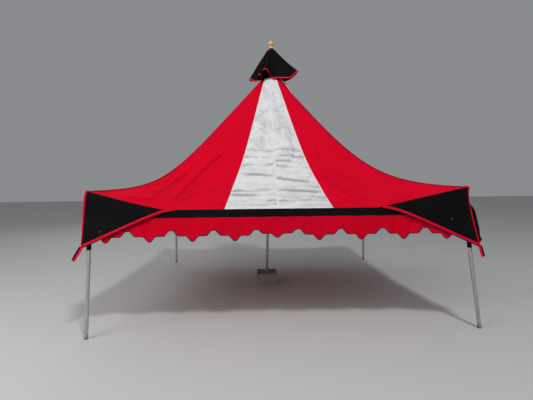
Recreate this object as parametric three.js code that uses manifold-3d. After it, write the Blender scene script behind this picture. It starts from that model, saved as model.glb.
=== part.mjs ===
import * as THREE from 'three';
import { mergeVertices } from 'three/addons/utils/BufferGeometryUtils.js';
import Module from 'manifold-3d';

// A square medieval pavilion tent: a striped canopy on one mast and four corner poles.
// Millimetres, +Z up. The origin is on the ground under the peak, and the front is -Y.

// Plan of the tent
const side = 4270;
const half = side / 2;
const cloth = 8;
const joint = 0.3;

// Heights above the ground
const cornerHeight = 1646;
const eaveHeight = 1425;
const bandDepth = 88;
const crownHeight = 3484;
const archHeight = 1190;
const scallopDepth = 126;
const middleScallopDepth = 92;
const finialHeight = 4108;
const capTopHeight = 3945;

// The middle of a face swells a little above its hips, and the crown is twisted clockwise
const faceBulge = 55;
const collarShare = 0.045;
const crownTwist = 23.3;

// The white gore widens evenly from the crown, and its seams turn in towards the eave
const whiteGoreTop = 50;
const whiteGoreGrowth = 690;
const whiteGoreTurn = 460;
const whiteGoreKnee = 0.73;
const whiteGoreSoftness = 0.04;

// The hanging valance, whose middle scallop lies a little left of the middle of a face
const scallopPitch = 481;
const middleScallop = -22.6;
const stepsPerScallop = 10;
const valanceHalf = 2040;
const hangingCloth = 4;

const poleRadius = 22;
const sleeveThickness = 4.2;
const roundSides = 24;

// The corners are not quite alike. knee and softness shape the hip, which hangs nearly straight
// from the crown and eases out into the corner. level and power shape the eave, which climbs from
// its level middle. inset and lean place the pole's head and its foot away from below the head.
// tip is the height of the wings' hem at the seam, and shoulder is how far their seam swells.
const frontLeft = {
  name: 'front_left', x: -1, y: -1, knee: 0.2995, softness: 0.0793, level: 0.59, power: 1.2,
  inset: 0, lean: [-63, -80], sleeveFoot: 992, tip: 1039, shoulder: 15, strap: [62, 55, -130],
};
const frontRight = {
  name: 'front_right', x: 1, y: -1, knee: 0.376, softness: 0.124, level: 0.52, power: 1.05,
  inset: 18, lean: [233, 34], sleeveFoot: 950, tip: 988, shoulder: 0, strap: [20, 50, -135],
};
const backRight = {
  name: 'back_right', x: 1, y: 1, knee: 0.338, softness: 0.102, level: 0.56, power: 1.12,
  inset: 0, lean: [0, 0], sleeveFoot: 970, tip: 1014, shoulder: 8, strap: [45, 50, -130],
};
const backLeft = {
  name: 'back_left', x: -1, y: 1, knee: 0.338, softness: 0.102, level: 0.56, power: 1.12,
  inset: 0, lean: [0, 0], sleeveFoot: 970, tip: 1014, shoulder: 8, strap: [45, 50, -130],
};
const corners = [frontLeft, frontRight, backRight, backLeft];

// Black corner wings with their red webbing and tie-out straps
const wingThickness = 5;
const wingInnerEnd = 1170;
const wingFlare = 25;
const hemStart = 3;
const hemKnee = 0.085;
const hemSoftness = 0.09;
const wingRowShares = [0, 0.22, 0.45, 0.7, 0.96, 1];
const wingRows = wingRowShares.length - 1;
const wingColumns = 8;
const shoulderStart = 0.04;
const webbingWidth = 30;
const webbingThickness = 4;
const pipingSize = 12;
const strapThickness = 10;
const strapEase = 6;

// The mast stands on two hollow blocks a little behind the middle of the tent
const blockWidth = 172;
const blockLength = 400;
const blockTall = 195;
const blockShell = 32;
const blockGap = 3;
const blocksFront = -15;
const mastFoot = new THREE.Vector3(-111, blocksFront + blockLength / 2, blockTall + joint);
const capCloth = 5;
const mastHead = new THREE.Vector3(0, 0, capTopHeight - capCloth - joint);

const red = new THREE.MeshStandardMaterial({ color: 0xc8102e, roughness: 0.85, metalness: 0 });
const white = new THREE.MeshStandardMaterial({ color: 0xe4e4e6, roughness: 0.85, metalness: 0 });
const black = new THREE.MeshStandardMaterial({ color: 0x151517, roughness: 0.9, metalness: 0 });
const steel = new THREE.MeshStandardMaterial({ color: 0x9ba3a3, roughness: 0.4, metalness: 0.9 });
const wood = new THREE.MeshStandardMaterial({ color: 0xd9a35a, roughness: 0.4, metalness: 0 });
const concrete = new THREE.MeshStandardMaterial({ color: 0x8b8a86, roughness: 0.95, metalness: 0 });

const tent = new THREE.Group();
const upright = new THREE.Vector3(0, 0, 1);
const wasm = await Module();
wasm.setup();

// Solid helpers

function closedSolid(geometry) {
  geometry.deleteAttribute('normal');
  geometry.deleteAttribute('uv');
  const merged = mergeVertices(geometry, 1e-3);
  const position = merged.attributes.position;
  const corner = [0, 1, 2].map(() => new THREE.Vector3());
  const kept = [];
  let volume = 0;
  for (let i = 0; i < merged.index.count; i += 3) {
    const triangle = [0, 1, 2].map((k) => merged.index.getX(i + k));
    if (new Set(triangle).size < 3) continue;
    kept.push(triangle);
    triangle.forEach((vertex, k) => corner[k].fromBufferAttribute(position, vertex));
    volume += corner[0].dot(corner[1].clone().cross(corner[2]));
  }
  const outward = kept.map(([a, b, c]) => (volume > 0 ? [a, b, c] : [a, c, b]));
  merged.setIndex(outward.flat());
  return merged;
}

function toManifold(geometry) {
  const solid = closedSolid(geometry);
  return new wasm.Manifold(new wasm.Mesh({
    numProp: 3,
    vertProperties: new Float32Array(solid.attributes.position.array),
    triVerts: new Uint32Array(solid.index.array),
  }));
}

function fromManifold(manifold) {
  const mesh = manifold.getMesh();
  const geometry = new THREE.BufferGeometry();
  geometry.setAttribute('position', new THREE.BufferAttribute(mesh.vertProperties, 3));
  geometry.setIndex(new THREE.BufferAttribute(mesh.triVerts, 1));
  return geometry;
}

// A sheet of cloth is a thin box bent by place(across, along, through), each from 0 to 1
function bentSheet(acrossSteps, alongSteps, place) {
  const geometry = new THREE.BoxGeometry(1, 1, 1, acrossSteps, alongSteps, 1);
  const position = geometry.attributes.position;
  for (let i = 0; i < position.count; i += 1) {
    const point = place(position.getX(i) + 0.5, position.getY(i) + 0.5, position.getZ(i) + 0.5);
    position.setXYZ(i, point.x, point.y, point.z);
  }
  return closedSolid(geometry);
}

function addPart(name, geometry, material, turn = 0) {
  const mesh = new THREE.Mesh(geometry, material);
  mesh.name = name;
  mesh.rotation.z = turn;
  tent.add(mesh);
  return mesh;
}

// An upright tube or rod between two levels, sheared so that both ends stay level
function leaningRound(profile, foot, head) {
  const geometry = new THREE.LatheGeometry(profile, roundSides);
  geometry.rotateX(Math.PI / 2);
  const position = geometry.attributes.position;
  for (let i = 0; i < position.count; i += 1) {
    const z = position.getZ(i);
    const share = (z - foot.z) / (head.z - foot.z);
    position.setX(i, position.getX(i) + THREE.MathUtils.lerp(foot.x, head.x, share));
    position.setY(i, position.getY(i) + THREE.MathUtils.lerp(foot.y, head.y, share));
  }
  return closedSolid(geometry);
}

function rodProfile(radius, low, high) {
  return [[0, low], [radius, low], [radius, high], [0, high]].map(([r, z]) => new THREE.Vector2(r, z));
}

function tubeProfile(inner, outer, low, high) {
  const ring = [[inner, low], [outer, low], [outer, high], [inner, high], [inner, low]];
  return ring.map(([r, z]) => new THREE.Vector2(r, z));
}

// Shape of the roof

// A line that is level below its knee and rises evenly beyond it, with a soft bend between
function softRamp(value, knee, softness) {
  return softness * Math.log(1 + Math.exp((value - knee) / softness));
}

function hipHeight(corner, out) {
  const ramp = (fromCorner) => softRamp(fromCorner, corner.knee, corner.softness);
  const rise = (ramp(1 - out) - ramp(0)) / (ramp(1 - collarShare) - ramp(0));
  return cornerHeight + (crownHeight - cornerHeight) * rise;
}

// How far the middle of a face lies above its hips, and below them near the eave
function faceHeight(face, out) {
  const swell = faceBulge * Math.sin(Math.PI * Math.sqrt(out)) * (1 - out);
  const hips = (hipHeight(face.left, out) + hipHeight(face.right, out)) / 2;
  return hips + swell - (cornerHeight - eaveHeight) * out ** 4;
}

function hipShare(corner, out, across) {
  const level = corner.level * out ** 3;
  const beyond = Math.max(0, (across - level) / (1 - level));
  return beyond ** (corner.power + 0.7 * (1 - out));
}

function roofHeight(face, out, across) {
  const corner = across < 0 ? face.left : face.right;
  const middle = faceHeight(face, out);
  return middle + (hipHeight(corner, out) - middle) * hipShare(corner, out, Math.abs(across));
}

// The roof is turned about the mast a little, more and more towards the crown
function twistAt(out) {
  return -crownTwist * (1 - out) / (half * out);
}

function whiteGoreEdge(out) {
  const turn = whiteGoreTurn * softRamp(out, whiteGoreKnee, whiteGoreSoftness);
  return whiteGoreTop + whiteGoreGrowth * out - turn;
}

// The eave runs level across the middle and climbs to the corners in short straight lengths
const eaveSteps = 45;
const eaveKnots = [0, 22, 26, 30, 34, 38, 42, eaveSteps].map((steps) => (steps * half) / eaveSteps);

function smoothEave(corner, x) {
  return eaveHeight + (cornerHeight - eaveHeight) * hipShare(corner, 1, Math.min(1, x / half));
}

function eaveLine(corner, x) {
  const distance = Math.min(Math.abs(x), half);
  const i = Math.min(eaveKnots.length - 2, eaveKnots.findLastIndex((knot) => knot <= distance));
  const share = (distance - eaveKnots[i]) / (eaveKnots[i + 1] - eaveKnots[i]);
  return THREE.MathUtils.lerp(smoothEave(corner, eaveKnots[i]), smoothEave(corner, eaveKnots[i + 1]), share);
}

function faceEave(face, x) {
  return eaveLine(x < 0 ? face.left : face.right, x);
}

// Roof gores, three to a face

function gore(face, leftEdge, rightEdge, acrossSteps) {
  return bentSheet(acrossSteps, 12, (across, along, through) => {
    const out = THREE.MathUtils.lerp(1, collarShare, along);
    const left = leftEdge(out) + joint / 2;
    const right = rightEdge(out) - joint / 2;
    const x = THREE.MathUtils.lerp(left, right, across);
    const z = roofHeight(face, out, x / (half * out)) - cloth * (1 - through);
    return new THREE.Vector3(x, -half * out, z).applyAxisAngle(upright, twistAt(out));
  });
}

// Bands and valances hang straight down from the eave

const hangFront = half + joint + hangingCloth;
const bandFoot = eaveHeight - bandDepth;

function band(face) {
  const knots = eaveKnots.filter((knot) => knot < valanceHalf);
  const stations = [...knots.slice(1).reverse().map((knot) => -knot), ...knots];
  stations[0] = -valanceHalf;
  stations[stations.length - 1] = valanceHalf;
  const steps = stations.length - 1;
  return bentSheet(steps, 1, (across, along, through) => {
    const x = stations[Math.round(across * steps)];
    const z = THREE.MathUtils.lerp(bandFoot, faceEave(face, x), along);
    return new THREE.Vector3(x, -hangFront + hangingCloth * through, z);
  });
}

// Each scallop is a bracket: a rounded point, a short shoulder, then a round arch
function scallopEdge(x) {
  const turns = (x - middleScallop) / scallopPitch;
  const nearest = Math.round(turns);
  const share = Math.abs(turns - nearest);
  const toShoulder = THREE.MathUtils.smoothstep(share, 0.01, 0.16);
  const toArch = THREE.MathUtils.smoothstep(share, 0.32, 0.47);
  const depth = nearest === 0 ? middleScallopDepth : scallopDepth;
  return archHeight - depth * (1 - (toShoulder + toArch) / 2);
}

function valance() {
  const step = scallopPitch / stepsPerScallop;
  const first = Math.floor((-valanceHalf - middleScallop) / step);
  const steps = Math.ceil((valanceHalf - middleScallop) / step) - first;
  return bentSheet(steps, 1, (across, along, through) => {
    const station = middleScallop + (first + Math.round(across * steps)) * step;
    const x = THREE.MathUtils.clamp(station, -valanceHalf, valanceHalf);
    const z = THREE.MathUtils.lerp(scallopEdge(x), bandFoot - joint, along);
    return new THREE.Vector3(x, -hangFront + hangingCloth * through, z);
  });
}

const faces = [
  { name: 'front', turn: 0, left: frontLeft, right: frontRight },
  { name: 'right', turn: Math.PI / 2, left: frontRight, right: backRight },
  { name: 'back', turn: Math.PI, left: backRight, right: backLeft },
  { name: 'left', turn: -Math.PI / 2, left: backLeft, right: frontLeft },
];
for (const face of faces) {
  const { name, turn } = face;
  const hip = (out) => half * out;
  const seam = whiteGoreEdge;
  addPart(`${name}_gore_red_left`, gore(face, (out) => -hip(out), (out) => -seam(out), 4), red, turn);
  addPart(`${name}_gore_white`, gore(face, (out) => -seam(out), seam, 4), white, turn);
  addPart(`${name}_gore_red_right`, gore(face, seam, hip, 4), red, turn);
  addPart(`${name}_eave_band`, band(face), black, turn);
  addPart(`${name}_valance`, valance(), red, turn);
}

// Corner poles and the cloth sleeves round their heads

const sleeveOuter = poleRadius + joint + sleeveThickness;

// A pole stands as far out as its sleeve can inside the wings, and its head stops under the roof
function headOf(corner) {
  const y = hangFront - sleeveOuter;
  const x = y - corner.inset;
  const face = faces.find(({ right }) => right === corner);
  const nearest = [-1, 0, 1].flatMap((i) => [-1, 0, 1].map((j) => {
    const places = [x + i * poleRadius, y + j * poleRadius];
    const out = Math.min(1, Math.max(...places) / half);
    return roofHeight(face, out, Math.min(1, Math.min(...places) / half / out));
  }));
  return new THREE.Vector3(corner.x * x, corner.y * y, Math.min(...nearest) - cloth - joint);
}

function footOf(corner) {
  const head = headOf(corner);
  return new THREE.Vector3(head.x + corner.lean[0], head.y + corner.lean[1], 0);
}

function poleAxis(corner, z) {
  const head = headOf(corner);
  return footOf(corner).lerp(head, z / head.z);
}

for (const corner of corners) {
  const foot = footOf(corner);
  const head = headOf(corner);
  addPart(`pole_${corner.name}`, leaningRound(rodProfile(poleRadius, 0, head.z), foot, head), steel);
  const sleeve = tubeProfile(poleRadius + joint, sleeveOuter, corner.sleeveFoot, head.z);
  addPart(`sleeve_${corner.name}`, leaningRound(sleeve, foot, head), black);
}

// Corner wings: two panels fall from the eave to a tip outside each pole

function wingTip(corner) {
  return corner.tip - webbingWidth / 2;
}

// Inner line of the seam between the two wings, measured outwards from the tent's middle
function seamOut(corner, z) {
  const share = THREE.MathUtils.clamp((cornerHeight - z) / (cornerHeight - wingTip(corner)), 0, 1);
  const axis = poleAxis(corner, Math.min(z, headOf(corner).z));
  const clear = (along) => Math.max(Math.abs(along) + sleeveOuter + joint, hangFront + joint);
  const below = Math.max(0, share - shoulderStart) / (1 - shoulderStart);
  const flare = wingFlare * share ** 2 + corner.shoulder * Math.sin(Math.PI * Math.sqrt(below));
  return { x: clear(axis.x) + flare, y: clear(axis.y) + flare };
}

// Lower edge of a wing: the hem melts into the eave at its inner end and falls evenly to the tip
function wingHem(corner, share) {
  const ramp = (place) => softRamp(place, hemKnee, hemSoftness) - softRamp(0, hemKnee, hemSoftness);
  return THREE.MathUtils.lerp(eaveHeight - hemStart, wingTip(corner), ramp(share) / ramp(1));
}

// A point of a corner's cloth: share runs from the wing's inner end to the seam,
// height from hem to eave, and offset is how far outside the wing's inner face it lies
function wingPoint(corner, onSide, share, z, seamZ, offset) {
  const seam = seamOut(corner, seamZ);
  const seamAlong = (onSide ? seam.y : seam.x) + offset;
  const seamAway = (onSide ? seam.x : seam.y) + offset;
  const along = THREE.MathUtils.lerp(wingInnerEnd, seamAlong, share);
  const away = THREE.MathUtils.lerp(hangFront + joint + offset, seamAway, share);
  const x = onSide ? away : along;
  const y = onSide ? along : away;
  return new THREE.Vector3(corner.x * x, corner.y * y, z);
}

function wing(corner, onSide) {
  return bentSheet(wingColumns, wingRows, (across, along, through) => {
    const share = across * (1 - joint / side);
    const alongEave = THREE.MathUtils.lerp(wingInnerEnd, half, share);
    const up = wingRowShares[Math.round(along * wingRows)];
    const z = THREE.MathUtils.lerp(wingHem(corner, share), eaveLine(corner, alongEave), up);
    const seamZ = THREE.MathUtils.lerp(wingTip(corner), cornerHeight, up);
    return wingPoint(corner, onSide, share, z, seamZ, wingThickness * through);
  });
}

function hemWebbing(corner, onSide) {
  const inner = wingThickness + joint;
  return bentSheet(wingColumns, 1, (across, along, through) => {
    const eave = eaveLine(corner, THREE.MathUtils.lerp(wingInnerEnd, half, across));
    const low = wingHem(corner, across);
    const z = THREE.MathUtils.lerp(low, Math.min(low + webbingWidth, eave), along);
    return wingPoint(corner, onSide, across, z, wingTip(corner), inner + webbingThickness * through);
  });
}

function seamPiping(corner) {
  return bentSheet(1, wingRows, (across, along, through) => {
    const up = wingRowShares[Math.round(along * wingRows)];
    const z = THREE.MathUtils.lerp(wingTip(corner), cornerHeight, up);
    const seam = seamOut(corner, z);
    const inner = wingThickness + joint;
    const x = seam.x + inner + pipingSize * across;
    const y = seam.y + inner + pipingSize * through;
    return new THREE.Vector3(corner.x * x, corner.y * y, z);
  });
}

function tieStrap(corner) {
  const seam = seamOut(corner, wingTip(corner));
  const inner = wingThickness + joint;
  const [reachX, reachY, reachZ] = corner.strap;
  return bentSheet(1, 4, (across, along, through) => {
    const x = seam.x + inner + reachX * along + strapThickness * (through - across) / 2 + strapEase;
    const y = seam.y + inner + reachY * along + strapThickness * (through + across) / 2;
    const z = wingTip(corner) + webbingWidth * (1 - along) + reachZ * along;
    return new THREE.Vector3(corner.x * x, corner.y * y, z);
  });
}

for (const corner of corners) {
  addPart(`wing_${corner.name}_across`, wing(corner, false), black);
  addPart(`wing_${corner.name}_side`, wing(corner, true), black);
  const binding = [hemWebbing(corner, false), hemWebbing(corner, true), seamPiping(corner), tieStrap(corner)]
    .map(toManifold)
    .reduce((whole, piece) => whole.add(piece));
  addPart(`binding_${corner.name}`, fromManifold(binding), red);
}

// Mast, its blocks, the crown collar, cap and finial

function mast(radius) {
  return leaningRound(rodProfile(radius, mastFoot.z, mastHead.z), mastFoot, mastHead);
}

function hollowBlock() {
  const outline = new THREE.Shape();
  outline.moveTo(0, 0);
  outline.lineTo(blockWidth, 0);
  outline.lineTo(blockWidth, blockLength);
  outline.lineTo(0, blockLength);
  outline.closePath();
  const core = (blockLength - 3 * blockShell) / 2;
  for (const start of [blockShell, 2 * blockShell + core]) {
    const hole = new THREE.Path();
    hole.moveTo(blockShell, start);
    hole.lineTo(blockShell, start + core);
    hole.lineTo(blockWidth - blockShell, start + core);
    hole.lineTo(blockWidth - blockShell, start);
    hole.closePath();
    outline.holes.push(hole);
  }
  return closedSolid(new THREE.ExtrudeGeometry(outline, { depth: blockTall, bevelEnabled: false }));
}

// The gores end against a square collar that is drawn up round the mast
const collarNeck = 45;
const collarTall = 95;
const collarRim = 12;

function crownCollar() {
  const rim = (half * collarShare - joint) * Math.SQRT2;
  const neck = collarNeck * Math.SQRT2;
  const neckHeight = crownHeight + collarTall;
  const low = crownHeight - collarRim;
  const outline = [[0, low], [rim, low], [rim, crownHeight + collarRim], [neck, neckHeight]];
  const profile = [...outline, [0, neckHeight]].map(([r, z]) => new THREE.Vector2(r, z));
  const geometry = new THREE.LatheGeometry(profile, 4);
  geometry.rotateX(Math.PI / 2);
  geometry.rotateZ(Math.PI / 4 + twistAt(collarShare));
  return fromManifold(toManifold(geometry).subtract(toManifold(mast(poleRadius + joint))));
}

// Hem of the cap, from its front right corner round by the back to the two flutes in front
const capHem = new THREE.CatmullRomCurve3([
  new THREE.Vector3(292, -250, 3429),
  new THREE.Vector3(375, -130, 3515),
  new THREE.Vector3(446, 0, 3608),
  new THREE.Vector3(430, 200, 3600),
  new THREE.Vector3(335, 300, 3548),
  new THREE.Vector3(30, 350, 3560),
  new THREE.Vector3(-200, 330, 3540),
  new THREE.Vector3(-340, 240, 3500),
  new THREE.Vector3(-375, 60, 3480),
  new THREE.Vector3(-352, -130, 3432),
  new THREE.Vector3(-262, -235, 3372),
  new THREE.Vector3(-212, -310, 3480),
  new THREE.Vector3(-170, -262, 3428),
  new THREE.Vector3(-109, -325, 3540),
  new THREE.Vector3(-21, -225, 3436),
  new THREE.Vector3(180, -258, 3427),
], true);
const capNeckRadius = 66;
const capRings = 5;

function cap() {
  const rings = Array.from({ length: capRings + 1 }, (_, i) => i);
  const outline = [...rings.map((ring) => [ring, 1]), ...rings.reverse().map((ring) => [ring, 0])];
  const geometry = new THREE.LatheGeometry(outline.map(([ring, side]) => new THREE.Vector2(ring, side)), 48);
  const position = geometry.attributes.position;
  for (let i = 0; i < position.count; i += 1) {
    const turn = Math.atan2(position.getX(i), position.getZ(i)) / (2 * Math.PI);
    const ring = Math.hypot(position.getX(i), position.getZ(i));
    const inside = 1 - position.getY(i);
    const hem = capHem.getPoint((turn + 1) % 1);
    const outwards = new THREE.Vector3(hem.x, hem.y, 0).normalize();
    const neck = outwards.clone().multiplyScalar(capNeckRadius * Math.min(1, ring)).setZ(capTopHeight);
    const point = neck.lerp(hem, Math.max(0, (ring - 1) / (capRings - 1)));
    point.z -= capCloth * inside;
    point.addScaledVector(outwards, ring > 0.5 ? -capCloth * inside : 0);
    position.setXYZ(i, point.x, point.y, point.z);
  }
  return closedSolid(geometry);
}

// The finial stands on a washer. Radius and height of its outline, upwards from the washer's foot
const finialOutline = [
  [0, 0], [37, 0], [37, 23], [44.5, 26], [46, 34], [43, 44], [34, 54], [27, 63], [27.5, 70],
  [37, 75], [45.5, 82], [48, 93], [47.5, 107], [43, 124], [34, 139], [21.5, 152], [9, 160],
];

function finial() {
  const base = capTopHeight + joint;
  const outline = [...finialOutline, [0, finialHeight - base]];
  const profile = outline.map(([r, height]) => new THREE.Vector2(r, base + height));
  const geometry = new THREE.LatheGeometry(profile, roundSides);
  geometry.rotateX(Math.PI / 2);
  return closedSolid(geometry);
}

addPart('mast', mast(poleRadius), steel);
addPart('crown_collar', crownCollar(), black);
addPart('cap', cap(), black);
addPart('finial', finial(), wood);
for (const [name, left] of [['left', true], ['right', false]]) {
  const block = addPart(`block_${name}`, hollowBlock(), concrete);
  block.position.set(mastFoot.x + (left ? -blockWidth - blockGap / 2 : blockGap / 2), blocksFront, 0);
}

export default tent;
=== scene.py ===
# %% [markdown]
# A medieval pavilion tent, dressed for its portrait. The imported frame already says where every
# pole, gore and strap goes. This notebook gives each piece its cloth, steel, wood or concrete,
# and models the soft parts as thin curved sheets with the folds that hanging canvas has.

# %% Load the frame
import functools
import math

import bmesh
import bpy
from mathutils import Matrix, Vector, noise


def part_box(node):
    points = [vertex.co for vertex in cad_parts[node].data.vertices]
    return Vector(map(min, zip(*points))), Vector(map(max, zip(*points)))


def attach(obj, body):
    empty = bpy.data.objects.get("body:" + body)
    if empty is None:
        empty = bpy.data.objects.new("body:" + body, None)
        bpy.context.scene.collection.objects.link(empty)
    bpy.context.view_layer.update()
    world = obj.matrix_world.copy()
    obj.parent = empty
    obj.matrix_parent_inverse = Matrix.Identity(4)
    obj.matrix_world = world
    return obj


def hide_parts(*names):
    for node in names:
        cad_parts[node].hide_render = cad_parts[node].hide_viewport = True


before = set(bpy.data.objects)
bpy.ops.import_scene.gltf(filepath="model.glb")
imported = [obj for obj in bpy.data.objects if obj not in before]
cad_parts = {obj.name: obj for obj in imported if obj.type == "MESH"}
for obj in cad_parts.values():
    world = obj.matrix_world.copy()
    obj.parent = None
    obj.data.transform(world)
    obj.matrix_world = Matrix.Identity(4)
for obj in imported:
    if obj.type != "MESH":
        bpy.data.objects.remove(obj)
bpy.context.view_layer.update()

scene = bpy.context.scene

# %% [markdown]
# The camera stands where the photo was taken: a little left of the middle, 6.4 m in front of the
# mast, at a height of about 1.7 m and tipped slightly down. The lens matches a 25.6 mm one on
# full frame. The turn is built from yaw, pitch and roll, which are easy to read.

# %% Camera
focal_pixels, photo_width, sensor_width = 378.5, 533, 36
camera_place = Vector((-0.211, -6.394, 1.676))
yaw, pitch, roll = math.radians(0.94), math.radians(-2.02), math.radians(-0.67)
forward = Vector((math.sin(yaw) * math.cos(pitch), math.cos(yaw) * math.cos(pitch), math.sin(pitch)))
level_right = Vector((math.cos(yaw), -math.sin(yaw), 0))
level_up = level_right.cross(forward)
right = level_right * math.cos(roll) + level_up * math.sin(roll)
up = level_up * math.cos(roll) - level_right * math.sin(roll)
camera_data = bpy.data.cameras.new("camera")
camera_data.sensor_width = sensor_width
camera_data.lens = focal_pixels / photo_width * sensor_width
camera = bpy.data.objects.new("camera", camera_data)
camera.matrix_world = Matrix.Translation(camera_place) @ Matrix((right, up, -forward)).transposed().to_4x4()
scene.collection.objects.link(camera)
scene.camera = camera
print("camera:", round(camera_data.lens, 1), "mm lens")

# %% [markdown]
# A plain pale floor and soft lamps. The strongest lamp stands high behind the camera and a little
# to its right, like the light in the photo. The photo is brighter on its left, so the broad
# second lamp stands close on that side. A third one lights the far side of the roof from behind.

# %% Floor and lamps
floor_half = 45


def plain_material(name, color, roughness):
    material = bpy.data.materials.new(name)
    material.use_nodes = True
    shader = material.node_tree.nodes["Principled BSDF"]
    shader.inputs["Base Color"].default_value = (*color, 1)
    shader.inputs["Roughness"].default_value = roughness
    return material


def soft_lamp(name, place, aim, size, power):
    data = bpy.data.lights.new(name, "AREA")
    data.size = size
    data.energy = power
    lamp = bpy.data.objects.new(name, data)
    lamp.location = place
    lamp.rotation_mode = "QUATERNION"
    lamp.rotation_quaternion = (Vector(aim) - Vector(place)).to_track_quat("-Z", "Y")
    scene.collection.objects.link(lamp)


floor_bm = bmesh.new()
bmesh.ops.create_grid(floor_bm, x_segments=1, y_segments=1, size=floor_half)
floor_mesh = bpy.data.meshes.new("floor")
floor_bm.to_mesh(floor_mesh)
floor_bm.free()
floor = bpy.data.objects.new("floor", floor_mesh)
floor_mesh.materials.append(plain_material("floor", (0.55, 0.55, 0.54), 0.9))
scene.collection.objects.link(floor)

soft_lamp("key", (2.3, -9.2, 11.3), (0, 0, 1.8), 1.3, 740)
soft_lamp("fill", (-6, -6.5, 5), (-0.6, 0, 1.6), 5, 340)
soft_lamp("back", (-4, 9, 9), (0, 0, 2.0), 6, 180)
world = bpy.data.worlds.new("studio")
world.use_nodes = True
world.node_tree.nodes["Background"].inputs["Color"].default_value = (0.94, 0.96, 1.0, 1)
world.node_tree.nodes["Background"].inputs["Strength"].default_value = 0.27
scene.world = world
scene.view_settings.view_transform = "Standard"
print("stage: floor and", len(bpy.data.lights), "lamps")

# %% [markdown]
# Every soft piece here starts as a flat grid and is bent into place, as a panel is cut flat and
# then hung. One helper does that for all of them. It also writes a UV map in metres, so a weave
# or a row of stitches keeps its true size on any piece.

# %% Helpers for sheets and cords


def bent_grid(columns, rows, place, measure, crease_shade=None):
    """A grid bent by place(across, along), with UVs in metres from measure(across, along)."""
    bm = bmesh.new()
    bmesh.ops.create_grid(bm, x_segments=columns, y_segments=rows, size=0.5)
    uv_layer = bm.loops.layers.uv.new("UVMap")
    # Painted shade: an optional float layer that darkens the cloth along its creases.
    crease_shade_layer = bm.verts.layers.float.new("crease_shade")
    flat = {v: (v.co.x + 0.5, v.co.y + 0.5) for v in bm.verts}
    for face in bm.faces:
        for loop in face.loops:
            loop[uv_layer].uv = measure(*flat[loop.vert])
    for v, spot in flat.items():
        v.co = place(*spot)
        if crease_shade:
            v[crease_shade_layer] = crease_shade(*spot)
    bm.normal_update()
    return bm


def join_all(parts):
    """Moves the meshes of several bmeshes into the first one."""
    whole = parts[0]
    for part in parts[1:]:
        mesh = bpy.data.meshes.new("joined")
        part.to_mesh(mesh)
        part.free()
        whole.from_mesh(mesh)
        bpy.data.meshes.remove(mesh)
    return whole


def make_piece(bm, name, material, slot, *nodes_replaced, smooth=True):
    """Turns a bmesh into a piece that rides on the tent."""
    mesh = bpy.data.meshes.new(name)
    bm.to_mesh(mesh)
    bm.free()
    mesh.materials.append(material)
    mesh.polygons.foreach_set("use_smooth", [smooth] * len(mesh.polygons))
    piece = bpy.data.objects.new(name, mesh)
    scene.collection.objects.link(piece)
    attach(piece, "root")
    if nodes_replaced:
        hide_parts(*nodes_replaced)
    return piece


def thicken(piece, thickness, offset=-1.0):
    """Gives a sheet its cloth thickness, inwards from its face unless offset says otherwise."""
    modifier = piece.modifiers.new("cloth", "SOLIDIFY")
    modifier.thickness = thickness
    modifier.offset = offset
    modifier.use_even_offset = False
    return piece


def close_round(bm, distance=1e-5):
    """Joins the first and the last column of a sheet that runs once round."""
    bmesh.ops.remove_doubles(bm, verts=bm.verts, dist=distance)
    bmesh.ops.recalc_face_normals(bm, faces=bm.faces)


def cloth_area(bm):
    return sum(face.calc_area() for face in bm.faces)


def even(share):
    return 1.0


def cord_along(path, away, half_width, half_depth, steps, around=8, loop=False, swell=even):
    """A round or flat cord along path(share); away(share) points off the cloth that it lies on."""
    spots = [path(i / steps) for i in range(steps + 1)]
    lengths = [0.0]
    for a, b in zip(spots, spots[1:]):
        lengths.append(lengths[-1] + (b - a).length)

    def place(share, turn):
        i = round(share * steps)
        before, after = spots[max(0, i - 1)], spots[min(steps, i + 1)]
        if loop and i in (0, steps):
            before, after = spots[steps - 1], spots[1]
        tangent = (after - before).normalized()
        outwards = away(share)
        outwards = (outwards - tangent * outwards.dot(tangent)).normalized()
        side = tangent.cross(outwards)
        angle = 2 * math.pi * turn
        ring = side * (half_width * math.cos(angle)) + outwards * (half_depth * math.sin(angle))
        return spots[i] + ring * swell(share)

    def measure(share, turn):
        return turn * 4 * half_width, lengths[round(share * steps)]

    bm = bent_grid(steps, around, place, measure)
    bmesh.ops.remove_doubles(bm, verts=bm.verts, dist=1e-5)
    ends = [edge for edge in bm.edges if edge.is_boundary]
    if ends:
        bmesh.ops.holes_fill(bm, edges=ends, sides=around)
    bmesh.ops.recalc_face_normals(bm, faces=bm.faces)
    return bm


def smooth_step(value, low, high):
    share = min(1.0, max(0.0, (value - low) / (high - low)))
    return share * share * (3 - 2 * share)


def blend(first, second, share):
    return first + (second - first) * share


def drift(x, y, seed):
    """Smooth noise from -1 to 1 that stays the same on every run."""
    return noise.noise(Vector((x, y, seed)))


print("helpers ready")

# %% [markdown]
# Canvas is a plain weave: threads go over and under each other about every 0.8 mm. The weave is
# a product of two sine waves on the metre-scaled UVs. Over it lie two slower patterns: a soft
# mottling, where sun and handling have changed the dye, and small rumples that only tilt the
# light. The creases carry painted shade: a sheet may hold an attribute of that shade, which
# darkens them. They all live in one node group, so the red, white and black canvas share it.

# %% Node groups for woven cloth


def new_group(name, inputs, outputs):
    group = bpy.data.node_groups.new(name, "ShaderNodeTree")
    for socket_name, kind, value in inputs:
        socket = group.interface.new_socket(socket_name, in_out="INPUT", socket_type=kind)
        socket.default_value = value
    for socket_name, kind in outputs:
        group.interface.new_socket(socket_name, in_out="OUTPUT", socket_type=kind)
    return group, group.nodes.new("NodeGroupInput"), group.nodes.new("NodeGroupOutput")


def set_or_link(tree, socket, value):
    if isinstance(value, (int, float, tuple)):
        socket.default_value = value
    else:
        tree.links.new(value, socket)


def math_node(tree, operation, *values):
    node = tree.nodes.new("ShaderNodeMath")
    node.operation = operation
    for socket, value in zip(node.inputs, values):
        set_or_link(tree, socket, value)
    return node.outputs[0]


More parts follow.
